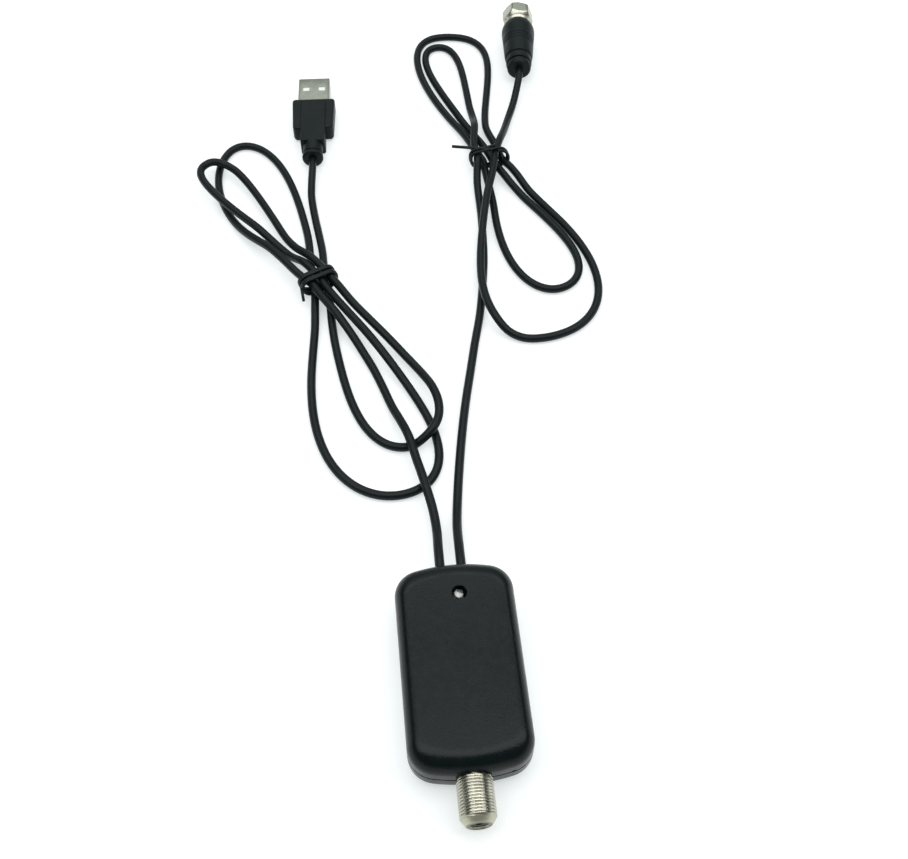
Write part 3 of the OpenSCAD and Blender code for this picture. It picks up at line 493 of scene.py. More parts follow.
def loop_point(t, loop, at, slot):
    """One point of a loop that leaves its tie, rounds its tip and comes back, t from 0 to 1."""
    length, width, full, tip, heading, bend, lean, lifts = loop
    s, c = math.sin(math.pi * t), math.cos(math.pi * t)
    widest = (full / (1 + full)) ** (full / 2) / math.sqrt(1 + full)
    along = length * (1 - abs(c) ** tip)
    across = width / 2 * s ** full * c / widest + lean * s ** 4
    turn = math.radians(bend) * along / length
    bend_r = length / math.radians(bend)
    x = bend_r * math.sin(turn) - across * math.sin(turn)
    y = bend_r * (1 - math.cos(turn)) + across * math.cos(turn)
    h = math.radians(heading)
    fade = math.cos(math.pi / 2 * min(1, along / SLOT_REACH)) ** 2
    return Vector((at.x + x * math.cos(h) - y * math.sin(h) + slot[0] * fade,
                   at.y + x * math.sin(h) + y * math.cos(h) + slot[1] * fade,
                   CORD_D / 2 + eased(t, lifts)))


def hank(at, slots, loops, back):
    """Centre line of a hank: each pass through the tie, then the loop that follows it."""
    route = []
    for i, loop in enumerate(loops):
        route.append(at + Vector(slots[i]) + Vector((0, 0, CORD_D / 2)))
        for k in range(HANK_RINGS):
            t = WAIST_T + (1 - 2 * WAIST_T) * k / (HANK_RINGS - 1)
            slot = slots[i] if t < 0.5 else slots[i + 1]
            route.append(loop_point(1 - t if back[i] else t, loop, at, slot))
    return route + [at + Vector(slots[-1]) + Vector((0, 0, CORD_D / 2))]


def cord_route(lead, bundle, tail):
    """The whole cord in the part's frame, through its lead, hank and tail."""
    lead = smooth([Vector(p) for p in lead] + [bundle[0]])
    tail = smooth([bundle[-1]] + [Vector(p) for p in tail])
    return [CORD_END + p for p in smooth(smooth(lead + bundle[1:-1] + tail))]


def before(at, turn, distance):
    """The point that far behind a plug's cord entry."""
    a = math.radians(turn)
    return at + distance * Vector((math.sin(a), -math.cos(a), 0))


# Loops: length, width, fullness, tip, heading, bend, lean, lifts along the loop
USB_LOOPS = [
    (77.5, 26.5, 2.3, 1.9, 119.5, 3.5, -12.5,
     [(0, ROW_HIGH), (0.16, ROW_HIGH), (0.3, 0), (0.8, 0), (0.88, ROW_LOW), (1, ROW_LOW)]),
    (89, 34.5, 2.5, 2.1, -79.5, 0.5, 6.5,
     [(0, ROW_HIGH), (0.16, ROW_HIGH), (0.3, 0), (0.8, 0), (0.9, ROW_LOW), (1, ROW_LOW)]),
    (72.5, 13.5, 3.5, 2.3, 121.5, 2, 0,
     [(0, ROW_HIGH), (0.1, ROW_HIGH), (0.16, 1.4), (0.23, 3.8), (0.36, 4.6), (0.5, 4), (0.62, 2.6),
      (0.7, 1.6), (0.8, 1.6), (0.9, ROW_HIGH), (1, ROW_HIGH)]),
    (74, 25, 2.6, 2.2, -65.5, -3.5, -0.5,
     [(0, ROW_HIGH), (0.16, ROW_HIGH), (0.27, 1.2), (0.36, 3.7), (0.44, 3.5), (0.53, 0), (0.8, 0),
      (0.9, ROW_LOW), (1, ROW_LOW)])]
COAX_LOOPS = [
    (72, 13, 3.9, 2.2, 104.5, -7, 0,
     [(0, ROW_LOW), (0.1, ROW_LOW), (0.2, 0), (0.8, 0), (0.84, ROW_HIGH), (1, ROW_HIGH)]),
    (66.5, 22.5, 2.6, 2.1, -80, 14, -1,
     [(0, ROW_LOW), (0.1, ROW_LOW), (0.2, 0), (0.8, 0), (0.9, ROW_LOW), (1, ROW_LOW)]),
    (77.5, 28, 2.7, 2.4, 105, -21, 2,
     [(0, ROW_LOW), (0.1, ROW_LOW), (0.2, 0), (0.8, 0), (0.9, ROW_LOW), (1, ROW_LOW)]),
    (86, 40.5, 2.3, 2.2, -76, -5, -7,
     [(0, ROW_LOW), (0.1, ROW_LOW), (0.2, 0), (0.56, 0), (0.655, 4), (0.7, 3.6), (0.725, 3), (0.76, 3.6),
      (0.86, ROW_HIGH), (1, ROW_HIGH)])]
# Whether each loop is run from its far side, and where the cord passes through the tie
USB_BACK = [False, True, False, False]
COAX_BACK = [True, False, False, False]
USB_SLOTS = [(-2.2, -3.2, ROW_HIGH), (-1.7, 0, ROW_LOW), (0, 0.2, ROW_HIGH), (1.6, 3.8, ROW_HIGH),
             (1.7, 0, ROW_LOW)]
COAX_SLOTS = [(-4.8, 0, ROW_HIGH), (0.9, 0, ROW_LOW), (-2.7, 0, ROW_LOW), (4.5, 0.5, ROW_LOW),
              (1.6, 0, ROW_HIGH)]
# Free stretches from the case to the tie, and from the tie to the plug
USB_LEAD = [(-CORD_X, -CORD_INSIDE, SEAM_Z), (-CORD_X, 3, SEAM_Z), (-2.9, 9, 6.6), (-2.7, 16, 4.2),
            (-3.3, 24, 3.9), (-5, 33, 5), (-6.6, 41, 4.6), (-8.2, 49, 5), (-10.2, 56, 3.6), (-12.5, 63, 1.9),
            (-14.8, 71, 1.4), (-17.4, 79, 1.4), (-20.4, 86, 2), (-23.8, 93, 3.4), (-28.4, 101, 5.5),
            (-33, 108.5, 6.1)]
USB_TAIL = [(-31.9, 125, 2.6), (-32.3, 134, 1.7), (-33.5, 144, 1.4), (-34.6, 153, 1.4), (-35.2, 162, 2.2),
            before(USB_AT, USB_TURN, USB_STRAIGHT), USB_AT]
COAX_LEAD = [(CORD_X, -CORD_INSIDE, SEAM_Z), (CORD_X, 3, SEAM_Z), (3.1, 9, 6.4), (3.4, 17, 3.6),
             (4.4, 26, 1.6), (6, 37, 1.4), (8.2, 50, 1.4), (10.8, 63, 1.4), (13.6, 75, 1.4), (16.4, 87, 1.4),
             (19.4, 99, 1.4), (21.8, 112, 1.4), (23.6, 124, 1.4), (24.6, 136, 1.4), (25.2, 148, 1.5),
             (25.3, 160, 3.4), (26.2, 168, 5.8)]
COAX_TAIL = [(35.8, 179.5, 6.2), (38.4, 187, 4), (41.2, 196, 2), (44.2, 204, 2.4), (46.6, 211, 4.8),
             before(FPLUG_AT, FPLUG_TURN, FPLUG_STRAIGHT), FPLUG_AT]

usb_route = cord_route(USB_LEAD, hank(USB_TIE_AT, USB_SLOTS, USB_LOOPS, USB_BACK), USB_TAIL)
coax_route = cord_route(COAX_LEAD, hank(COAX_TIE_AT, COAX_SLOTS, COAX_LOOPS, COAX_BACK), COAX_TAIL)
usb_cord = tube("usb_cord", usb_route, CORD_D)
coax_cord = tube("coax_cord", coax_route, CORD_D)
dress(usb_cord, cord_pvc, "cord", "usb_cord_lead", "usb_cord_hank", "usb_cord_tail")
dress(coax_cord, cord_pvc, "cord", "coax_cord_lead", "coax_cord_hank", "coax_cord_tail")


# Case: two halves that meet in a dark seam line

def plan(hl, hw, rc, corner_steps=12, end_steps=24):
    """Outline in plan: straight sides, bowed ends, round corners."""
    end_r = (hw * hw + END_BOW * END_BOW) / (2 * END_BOW)
    end_y = hl - end_r
    cx = hw - rc
    cy = end_y + math.sqrt((end_r - rc) ** 2 - cx * cx)
    turn = math.atan2(cy - end_y, cx)
    half = []
    for i in range(corner_steps + 1):
        a = turn * i / corner_steps
        half.append((cx + rc * math.cos(a), cy + rc * math.sin(a)))
    for i in range(1, end_steps + 1):
        a = turn + (math.pi - 2 * turn) * i / end_steps
        half.append((end_r * math.cos(a), end_y + end_r * math.sin(a)))
    for i in range(1, corner_steps + 1):
        a = math.pi - turn + turn * i / corner_steps
        half.append((-cx + rc * math.cos(a), cy + rc * math.sin(a)))
    return half + [(-x, -y) for x, y in half]


def case_ring(z, in_end, in_side):
    """The case's outline moved in by the given amounts, at height z from the seam."""
    corner_r = max(CORNER_R - in_side, CORNER_MIN_R)
    return [(x, y, z) for x, y in plan(HALF_L - in_end, HALF_W - in_side, corner_r)]


def half_rings(inset, h, steps=14):
    """Rings of half the case up to height h, moved in by the given amount."""
    rings = []
    for k in range(steps + 1):
        a = math.pi / 2 * k / steps
        z = h - EDGE_H + EDGE_H * math.sin(a)
        move = 1 - math.cos(a)
        rings.append(case_ring(z, inset + EDGE_END * move, inset + EDGE_SIDE * move))
    return rings


def half_case(name, up):
    """A hollow half with its holes at the seam; up is 1 for the upper half and -1 for the lower."""
    where = Matrix.Translation((0, 0, SEAM_Z)) @ Matrix.Diagonal((1, 1, up, 1))
    seam = [case_ring(0, SEAM_V, SEAM_V), case_ring(SEAM_V, 0, 0)]
    face = case_ring(SEAM_Z, EDGE_END + FACE_IN, EDGE_SIDE + FACE_IN)
    shell = solid(name, [*seam, *half_rings(0, SEAM_Z), face], where=where)
    inside = [case_ring(-OVERCUT, WALL, WALL), *half_rings(WALL, SEAM_Z - SKIN, 8)]
    cutters = [solid("hollow", inside, where=where)]
    r = SOCKET_NECK_D / 2 + SOCKET_GAP
    axis = Matrix.Translation((0, 0, SEAM_Z))
    cutters.append(solid("barrel_hole", turned([(-HALF_L - OVERCUT, r), (BLOCK_FRONT, r)]), where=axis))
    r = CORD_D / 2 + CORD_GAP
    for side in (-1, 1):
        axis = Matrix.Translation((side * CORD_X, 0, SEAM_Z))
        cord_hole = turned([(HALF_L - CORD_INSIDE, r), (HALF_L + OVERCUT, r)], 32)
        cutters.append(solid("cord_hole", cord_hole, where=axis))
    combine(shell, "DIFFERENCE", *cutters)
    return shell


top = half_case("case_top", 1)
hole_r = LED_HOLE_D / 2
led_hole_line = [(CASE_H - SKIN - OVERCUT, hole_r), (CASE_H - LED_BEVEL, hole_r),
                 (CASE_H + LED_BEVEL, hole_r + LED_BEVEL)]
led_hole = solid("led_hole", turned(led_hole_line, 48), where=upright(LED_X, LED_Y))
notch_levels = ((SEAM_Z - NOTCH_BELOW, 1), (SEAM_Z + NOTCH_H, 1))
notch = taper("notch", NOTCH_X, NOTCH_Y, NOTCH_W, NOTCH_L, notch_levels)
combine(top, "DIFFERENCE", led_hole, notch)
dress(top, case_abs, "case", "top_shell")

bottom = half_case("case_bottom", -1)
boss_line = [(SKIN - BOSS_SINK, BOSS_D / 2), (SEAM_Z, BOSS_D / 2)]
bosses = [solid("boss", turned(boss_line, 32), where=upright(x, y)) for x, y in SCREWS.values()]
combine(bottom, "UNION", *bosses)
head_r, shank_r = SCREW_HEAD_D / 2 + SCREW_GAP, SCREW_D / 2 + SCREW_GAP
well_line = [(-OVERCUT, head_r), (SCREW_SEAT, head_r), (SCREW_SEAT, shank_r), (SEAM_Z + OVERCUT, shank_r)]
wells = [solid("well", turned(well_line, 32), where=upright(x, y)) for x, y in SCREWS.values()]
combine(bottom, "DIFFERENCE", *wells)
dress(bottom, case_abs, "case", "bottom_shell")


# Screws with crossed slots

for letter, (x, y) in SCREWS.items():
    foot, end = SCREW_SEAT - SCREW_HEAD_H, SCREW_SEAT + SCREW_L
    r = SCREW_HEAD_D / 2
    head_line = [(foot, 0.6 * r), (foot + 0.12, 0.82 * r), (foot + 0.35, 0.95 * r), (foot + 0.7, r),
                 (SCREW_SEAT, r)]
    shank_line = [(SCREW_SEAT, SCREW_D / 2), (end - SCREW_TIP_L, SCREW_D / 2), (end, SCREW_TIP_R)]
    screw = solid(f"screw_{letter}", turned(head_line + shank_line, 32), where=upright(x, y))
    slot_levels = ((foot - SLOT_OUT, 1.1), (foot + SLOT_H, 0.7))
    slots = [taper("slot", x, y, w, l, slot_levels) for w, l in ((SLOT_W, SLOT_L), (SLOT_L, SLOT_W))]
    combine(screw, "DIFFERENCE", *slots)
    dress(screw, screw_steel, "screw", f"case_screw_{letter}")


# F socket: threaded barrel with a coned end, its bore and the block inside the case

def block_limit(a):
    """Distance to the socket block's edge at an angle."""
    return min(BLOCK_W / 2 / max(abs(math.cos(a)), 1e-6), BLOCK_H / 2 / max(abs(math.sin(a)), 1e-6))


def socket_rings(steps=72):
    """The socket's skin, out along the barrel and back through the bore."""
    r, neck_r, end_r, bore = SOCKET_D / 2, SOCKET_NECK_D / 2, SOCKET_END_D / 2, SOCKET_BORE_D / 2
    lip_line = [(SOCKET_TIP + 0.25, bore), (SOCKET_TIP, bore + 0.2), (SOCKET_TIP, end_r - 0.2),
                (SOCKET_TIP + 0.15, end_r + 0.1)]
    rings = turned(lip_line, steps)
    for y in steps_between(SOCKET_TIP + 0.5, THREAD_END, THREAD_PITCH / 10):
        cone_r = end_r + (r - end_r) * (y - SOCKET_TIP) / SOCKET_CONE
        rings.append(threaded(y, r, SOCKET_THREAD, SOCKET_CREST, steps, cone_r))
    for y in steps_between(THREAD_END + 0.08, NECK_THREAD_END, THREAD_PITCH / 10):
        rings.append(threaded(y, neck_r, NECK_THREAD, SOCKET_CREST, steps))
    rings += turned([(NECK_THREAD_END + 0.1, neck_r), (BLOCK_FRONT, neck_r)], steps)
    rings += [circle(y, BLOCK_W, steps, block_limit) for y in (BLOCK_FRONT, BLOCK_BACK)]
    return rings + [circle(BLOCK_BACK, bore, steps)]


socket = solid("f_socket_barrel", socket_rings(), loop=True, where=Matrix.Translation((0, 0, SEAM_Z)))
dress(socket, socket_nickel, "nickel", "f_socket_body", sharp=50)


# Indicator: a clear lamp with its reflector cup and post inside

def dome(y, r, steps=8):
    """Profile of a half ball that ends at y."""
    angles = [math.pi / 2 * k / steps for k in range(steps + 1)]
    return [(y - r + r * math.sin(a), max(r * math.cos(a), 0.02)) for a in angles]


rim_r, rim_top = LED_D / 2 + LED_RIM, LED_FOOT + LED_RIM_H
lamp_line = [(LED_FOOT, rim_r), (rim_top, rim_r), (rim_top, LED_D / 2), *dome(CASE_H, LED_D / 2)]
lamp = solid("lamp", turned(lamp_line, 48), where=upright(LED_X, LED_Y))
dress(lamp, lens_resin, "lens", "indicator_led")
cup = solid("lamp_cup", turned([(LED_FOOT + z, r) for z, r in CUP_LINE], 32), where=upright(CUP_X, CUP_Y))
dress(cup, white_nylon, "white_plastic")
lamp_post_rings = []
for z, k in LAMP_POST_LEVELS:
    x = LAMP_POST_W / 2 * k
    lamp_post_rings.append([(x, LAMP_POST_Y1, z), (-x, LAMP_POST_Y1, z),
                            (-x, LAMP_POST_Y0, z), (x, LAMP_POST_Y0, z)])
lamp_post_turn = Matrix.Rotation(math.radians(LAMP_POST_TURN), 4, "Z")
lamp_post_where = Matrix.Translation((LED_X, LED_Y, LED_FOOT)) @ lamp_post_turn
lamp_post = solid("lamp_post", lamp_post_rings, where=lamp_post_where)
dress(lamp_post, component_epoxy, "component")


# USB plug: moulding with collar, neck and panel, and the metal shell with its windows

def slab_outline(w, rear_w, y0, y1, r, slant=0, steps=5):
    """Outline of a slab that takes an inset, with round corners; slant sweeps the rear edge of its wings."""
    def outline(inset):
        points = []
        for q, (right, far) in enumerate(CORNERS):
            for k in range(steps + 1):
                a = math.pi / 2 * (q + k / steps)
                x = right * ((w if far > 0 else rear_w) / 2 - r) + (r - inset) * math.cos(a)
                y = (y1 - r if far > 0 else y0 + r) + (r - inset) * math.sin(a)
                points.append((x, y))
        return [(x, y + slant * max(0, abs(x) - NECK_W / 2) if y < (y0 + y1) / 2 else y) for x, y in points]
    return outline


def collar_profile():
    """The moulding's collar, from its hole for the cord over a ring and a groove to the neck."""
    r = COLLAR_D / 2
    ring = [(0.35, CORD_D / 2 + 0.1), (0, r - 1.2), (0.1, r - 0.6), (0.4, r - 0.15), (0.9, r),
            (RING_L - 0.2, r), (RING_L, r - 0.12)]
    groove = [(RING_L + 0.15, r - RING_GROOVE), (RING_L + 0.75, r - RING_GROOVE), (RING_L + 0.9, r - 0.32)]
    return ring + groove + [(RING_L + 1.2, r - 0.2), (COLLAR_L + 1, r - 0.2)]


usb_where = placed(USB_AT, USB_TURN)
body_outline = slab_outline(MOULD_W, MOULD_REAR_W, MOULD_Y, SHELL_Y, MOULD_R, WING_SLANT)
moulding = solid("usb_moulding", softened(body_outline, MOULD_T, MOULD_EDGE), where=usb_where)
panel_end = SHELL_Y - PANEL_IN
neck_outline = slab_outline(NECK_W, NECK_W, COLLAR_L, panel_end, NECK_R)
neck = solid("neck", softened(neck_outline, MOULD_T + 2 * PANEL_T, NECK_EDGE), where=usb_where)
collar = solid("collar", turned(collar_profile(), 48), where=usb_where)
line_w = NECK_W + 2 * PANEL_LINE_W
line_outline = slab_outline(line_w, line_w, 0, panel_end + PANEL_LINE_W, NECK_R)(0)
lines = []
for side in (-1, 1):
    levels = (side * (MOULD_T / 2 - PANEL_LINE_H), side * MOULD_T)
    lines.append(solid("line", [[(x, y, z) for x, y in line_outline] for z in levels], where=usb_where))
combine(moulding, "DIFFERENCE", *lines)
combine(moulding, "UNION", neck, collar)
pocket_rings = [round_rect(USB_W, USB_T, POCKET_R, y) for y in (SHELL_Y - USB_GRIP, SHELL_Y + OVERCUT)]
combine(moulding, "DIFFERENCE", solid("pocket", pocket_rings, where=usb_where))
dress(moulding, moulding_pvc, "moulding", "usb_overmould", sharp=40)

# The shell's sheet from its grip over its rounded lip and back: inset, corner radius and place
sheet_line = ((0, 0.4, SHELL_Y - USB_GRIP), (0, 0.4, SHELL_TIP - 0.12), (0.04, 0.38, SHELL_TIP - 0.03),
              (0.1, 0.34, SHELL_TIP), (USB_SHEET, 0.2, SHELL_TIP - 0.05),
              (USB_SHEET, 0.2, SHELL_Y - USB_GRIP))
shell_rings = [round_rect(USB_W - 2 * inset, USB_T - 2 * inset, r, y) for inset, r, y in sheet_line]
usb_shell = solid("usb_metal_shell", shell_rings, loop=True, where=usb_where)
window_outline = round_rect(WINDOW_W, WINDOW_Y1 - WINDOW_Y0, WINDOW_R, 0, 4)
window_y = (WINDOW_Y0 + WINDOW_Y1) / 2
windows = []
for side in (-1, 1):
    outline = [(side * WINDOW_X + x, window_y + z) for x, _, z in window_outline]
    window_rings = [[(x, y, z) for x, y in outline] for z in (-USB_T, USB_T)]
    windows.append(solid("window", window_rings, where=usb_where))
combine(usb_shell, "DIFFERENCE", *windows)
dress(usb_shell, usb_steel, "usb_steel", "usb_shell", sharp=40)


# F plug: ringed boot, metal collar and the hexagon nut that turns

def with_dip(profile, dip):
    """A profile with a small dip cut into it, from pairs of place and depth."""
    def radius(y):
        for (y0, r0), (y1, r1) in zip(profile, profile[1:]):
            if y0 <= y <= y1 and y1 > y0:
                return r0 + (r1 - r0) * (y - y0) / (y1 - y0)
        return profile[-1][1]
    start, end = dip[0][0], dip[-1][0]
    first = [p for p in profile if p[0] < start]
    last = [p for p in profile if p[0] > end]
    return first + [(y, radius(y) - depth) for y, depth in dip] + last


def boot_profile():
    """The boot with its grip lines, from its hole for the cord over two rings to its wide end."""
    r, end_r, shoulder_r = BOOT_D / 2, BOOT_END_D / 2, BOOT_SHOULDER_D / 2
    groove_a, groove_b = end_r + 0.1 - BOOT_GROOVE, end_r + 0.5 - BOOT_GROOVE
    hole = [(0.3, CORD_D / 2 + 0.15), (0, end_r - 1), (0.05, end_r - 0.5)]
    first_ring = [(0.6, end_r), (2.0, end_r + 0.1), (2.35, end_r + 0.05), (2.45, groove_a), (2.85, groove_a)]
    second_ring = [(2.95, end_r + 0.2), (3.3, end_r + 0.4), (5.5, end_r + 0.5), (5.85, end_r + 0.45),
                   (5.95, groove_b), (6.35, groove_b)]
    shoulder = [(6.45, shoulder_r - 0.5), (6.7, shoulder_r - 0.15), (7.3, shoulder_r)]
    body = [(0.37 * BOOT_L, shoulder_r + 0.3), (0.62 * BOOT_L, r - 0.45), (0.78 * BOOT_L, r - 0.1),
            (0.86 * BOOT_L, r - 0.02), (0.93 * BOOT_L, r - 0.35), (0.975 * BOOT_L, r - 0.8),
            (BOOT_L, FERRULE_D / 2 + 0.3)]
    outside = smooth([Vector(p) for p in first_ring + second_ring + shoulder + body])
    profile = hole + [(p.x, p.y) for p in outside]
    for y in GRIP_LINES:
        dip = [(y - 0.35, 0), (y - 0.12, GRIP_LINE_H), (y + 0.12, GRIP_LINE_H), (y + 0.35, 0)]
        profile = with_dip(profile, dip)
    return profile + [(BOOT_L, SLEEVE_R), (SLEEVE_Y, SLEEVE_R)]


def plug_collar_profile():
    """The collar, from its sleeve in the boot over a bead and a cone to the flange that holds the nut."""
    r, flange_end = FERRULE_D / 2, FLANGE_Y + FLANGE_L
    sleeve = [(SLEEVE_Y, CORE_R), (SLEEVE_Y, SLEEVE_R), (BOOT_L, SLEEVE_R)]
    bead = [(BOOT_L, r - 0.4), (BOOT_L + 0.1, r - 0.25), (BOOT_L + 0.35, r - 0.25), (BOOT_L + 0.45, r - 0.5),
            (BOOT_L + 0.55, r - 1), (BOOT_L + 0.75, r - 1)]
    cone = [(BOOT_L + 1.0, r - 0.78), (BOOT_L + 1.5, r - 0.36), (BOOT_L + 1.9, r - 0.1), (BOOT_L + 2.2, r),
            (FERRULE_END - 0.2, r), (FERRULE_END, r - 0.2)]
    post = [(FERRULE_END, POST_R), (FLANGE_Y, POST_R)]
    flange = [(FLANGE_Y, FLANGE_R - 0.1), (FLANGE_Y + 0.1, FLANGE_R), (flange_end - 0.1, FLANGE_R),
              (flange_end, FLANGE_R - 0.1), (flange_end, CORE_R)]
    return sleeve + bead + cone + post + flange


def flats(a):
    """Distance to the nut's flats at an angle."""
    return NUT_AF / 2 / math.cos((a + math.radians(NUT_REST)) % (math.pi / 3) - math.pi / 6)


def chamfer(y0, r0, y1, r1, steps, parts):
    """Rings of a cone over the nut's flats."""
    shares = [k / parts for k in range(parts + 1)]
    return [circle(y0 + (y1 - y0) * k, r0 + (r1 - r0) * k, steps, flats) for k in shares]


def nut_rings(steps=72):
    """The nut's skin, over its flats and chamfers and back through its thread."""
    back, tip, floor = NUT_Y, NUT_Y + NUT_L, NUT_Y + NUT_BACK
    rings = turned([(back, NUT_POST_R), (back, NUT_REAR_R - 0.1)], steps)
    rings += chamfer(back + 0.1, NUT_REAR_R, back + 0.1 + NUT_REAR, NUT_ROUND_R, steps, 8)
    rings += chamfer(tip - NUT_TIP, NUT_ROUND_R, tip, NUT_TIP_R, steps, 4)
    rings += [circle(tip, NUT_BORE_R + 0.4, steps)]
    for y in steps_between(tip - 0.4, floor + 1, THREAD_PITCH / 8):
        rings.append(threaded(y, NUT_BORE_R + NUT_THREAD, NUT_THREAD, NUT_CREST, steps))
    return rings + turned([(floor, NUT_BORE_R), (floor, NUT_POST_R)], steps)


fplug_where = placed(FPLUG_AT, FPLUG_TURN)
boot = solid("f_plug_boot_skin", turned(boot_profile(), 72), where=fplug_where)
dress(boot, moulding_pvc, "moulding", "f_plug_boot", sharp=40)
plug_collar = solid("f_plug_collar", turned(plug_collar_profile()), loop=True, where=fplug_where)
dress(plug_collar, collar_nickel, "nickel", "f_plug_ferrule", sharp=40)
nut = solid("f_plug_hex_nut", nut_rings(), loop=True, where=fplug_where)
dress(nut, nut_nickel, "nickel", "f_plug_nut", body="plug_nut", sharp=25)


# Ties: two flat bands on the power cord, two turns of wire on the aerial cord

def frame_line(x0, x1, radii, steps=8):
    """A round-cornered frame about a bundle, clockwise from the middle of its top.

    Each of its points comes with the way out there."""
    middle = (Vector(((x0 + x1) / 2, 0, TIE_HIGH)), Vector((0, 0, 1)))
    line = [middle]
    corners = ((x1, TIE_HIGH, -1, -1), (x1, TIE_LOW, -1, 1), (x0, TIE_LOW, 1, 1), (x0, TIE_HIGH, 1, -1))
    for q, (x, z, right, up) in enumerate(corners):
        r = radii[q]
        for k in range(steps + 1):
            a = math.pi / 2 * (1 - q - k / steps)
            out = Vector((math.cos(a), 0, math.sin(a)))
            line.append((Vector((x + right * r, 0, z + up * r)) + out * r, out))
    return line + [middle]


def around(line, t):
    """The point and the way out after t turns along a frame."""
    lengths = [(b[0] - a[0]).length for a, b in zip(line, line[1:])]
    run = (t % 1) * sum(lengths)
    for (at, out), (next_at, next_out), length in zip(line, line[1:], lengths):
        if run <= length:
            break
        run -= length
    k = run / length
    return at.lerp(next_at, k), out.lerp(next_out, k).normalized()


def band_rings(line, side):
    """Rings of one band; the two bands are a little further apart on top than below."""
    rings = []
    section = round_rect(BAND_W, BAND_T, BAND_EDGE, 0, 4)
    for i in range(BAND_STEPS):
        t = i / BAND_STEPS
        at, out = around(line, t)
        y = side * ((BAND_W + BAND_SPACE) / 2 + BAND_SPREAD * math.cos(2 * math.pi * t))
        rings.append([at + out * (BAND_T / 2 + z) + Vector((0, y + x, 0)) for x, _, z in section])
    return rings


usb_tie_where = placed(USB_TIE_AT, USB_TIE_TURN)
band_line = frame_line(BAND_LEFT, BAND_RIGHT, BAND_RADII)
bands = solid("usb_tie_bands", band_rings(band_line, -1), loop=True, where=usb_tie_where)
second_band = solid("band", band_rings(band_line, 1), loop=True, where=usb_tie_where)
band_end_levels = ((-BAND_END_L, 0.7), (-BAND_END_L + 0.2, 1), (BAND_END_IN, 1))
band_end_rings = [round_rect(BAND_T * k, BAND_W * k, BAND_END_R * k, y) for y, k in band_end_levels]
band_end_at = Matrix.Translation((BAND_LEFT - BAND_T / 2, 0, ROW_HIGH))
band_end_turn = Matrix.Rotation(math.radians(BAND_END_TURN), 4, "Z")
band_end = solid("band_end", band_end_rings, where=usb_tie_where @ band_end_at @ band_end_turn)
combine(bands, "UNION", second_band, band_end)
dress(bands, tie_pvc, "tie", "usb_tie", sharp=40)

coax_tie_where = placed(COAX_TIE_AT, COAX_TIE_TURN)
wire_line = frame_line(WIRE_LEFT, WIRE_RIGHT, WIRE_RADII)
wire = []
for i in range(WIRE_TURNS * WIRE_STEPS + 1):
    t = i / WIRE_STEPS
    at, out = around(wire_line, t + WIRE_START)
    wire.append(at + out * WIRE_T / 2 + Vector((0, WIRE_PITCH * (t - WIRE_TURNS / 2), 0)))
wire_end_way = Vector((-math.sin(math.radians(WIRE_END_TURN)), math.cos(math.radians(WIRE_END_TURN)), 0))
wire_end = [WIRE_END_AT + wire_end_way * WIRE_END_L * k / WIRE_END_STEPS for k in range(WIRE_END_STEPS + 1)]
wire_tie = tube("coax_tie_wire", [coax_tie_where @ p for p in smooth(wire)], WIRE_T)
wire_tail = tube("coax_tie_tail", [coax_tie_where @ p for p in wire_end], WIRE_T)
dress(wire_tie, tie_pvc, "tie", "coax_tie")
dress(wire_tail, tie_pvc, "tie")


# CAD nodes that stay, with better materials

# The socket's insulator takes the black component finish as painted shade, so that its bore reads dark
FINISHES = {
    "pcb": board_mask, "f_socket_insulator": component_epoxy, "f_socket_contact": contact_gold,
    "led_leads": lead_nickel, "rf_transistor": component_epoxy, "choke_inductor": component_epoxy,
    "electrolytic_capacitor": component_epoxy, "chip_capacitors": chip_ceramic,
    "chip_resistors": component_epoxy, "usb_insulator": white_nylon, "usb_contacts": contact_gold,
    "f_plug_dielectric": white_nylon, "f_plug_pin": contact_gold}
for name, material in FINISHES.items():
    node = frame["nodes"][name]
    node.data.materials.clear()
    node.data.materials.append(material)
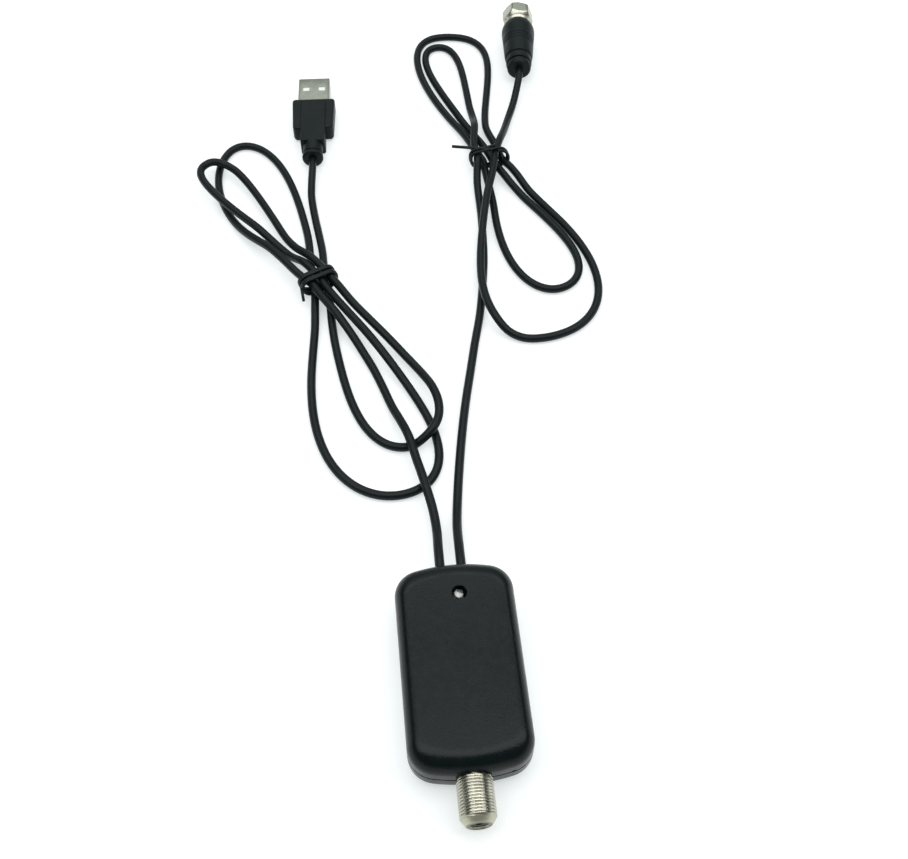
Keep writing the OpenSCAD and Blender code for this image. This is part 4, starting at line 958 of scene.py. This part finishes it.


# Floor: its own glow makes it white around the object and pale further off

def seen_directly(tree):
    """A value that is 1 for rays to the camera, in mirrors and through glass."""
    path = tree.nodes.new("ShaderNodeLightPath")
    mirrored = calculated(tree, "MAXIMUM", path.outputs["Is Camera Ray"], path.outputs["Is Glossy Ray"])
    return calculated(tree, "MAXIMUM", mirrored, path.outputs["Is Transmission Ray"])


floor_mesh = bpy.data.meshes.new("floor")
floor_mesh.from_pydata([(-x * FLOOR_HALF, -y * FLOOR_HALF, FLOOR_Z) for x, y in CORNERS], [], [(0, 1, 2, 3)])
floor = added("floor", floor_mesh)
floor_paper, floor_bsdf = shader("floor_paper", {"Base Color": (0.6, 0.6, 0.6, 1), "Roughness": 0.9,
                                                 "Specular IOR Level": 0.1, "Emission Color": COOL_WHITE})
floor_mesh.materials.append(floor_paper)
tree = floor_paper.node_tree
glow = calculated(tree, "MULTIPLY", seen_directly(tree), FLOOR_GLOW)
tree.links.new(glow, floor_bsdf.inputs["Emission Strength"])


# World: brightest behind the object at half height, and as pale as the far floor along the horizon

world = bpy.data.worlds.new("studio")
bpy.context.scene.world = world
world.use_nodes = True
tree = world.node_tree
coords = tree.nodes.new("ShaderNodeTexCoord")
lean = tree.nodes.new("ShaderNodeVectorMath")
lean.operation = "DOT_PRODUCT"
lean.inputs[1].default_value = WORLD_LEAN
height = tree.nodes.new("ShaderNodeSeparateXYZ")
tree.links.new(coords.outputs["Generated"], lean.inputs[0])
tree.links.new(coords.outputs["Generated"], height.inputs["Vector"])
above = calculated(tree, "MAXIMUM", lean.outputs["Value"], 0)
behind = mapped(tree, calculated(tree, "POWER", above, WORLD_FOCUS), 0, 1, WORLD_LOW, WORLD_HIGH)
horizon = mapped(tree, height.outputs["Z"], HORIZON_START, HORIZON_END, HORIZON_LEVEL, 0)
background = tree.nodes["Background"]
background.inputs["Color"].default_value = COOL_WHITE
tree.links.new(calculated(tree, "MAXIMUM", behind, horizon), background.inputs["Strength"])


# Two strip lights overhead

for name, (at, depth, power) in STRIPS.items():
    strip = added(name, bpy.data.lights.new(name, "AREA"))
    strip.location = at
    strip.data.shape = "RECTANGLE"
    strip.data.size = STRIP_W
    strip.data.size_y = depth
    strip.data.energy = power

bpy.context.scene.view_settings.view_transform = "Standard"
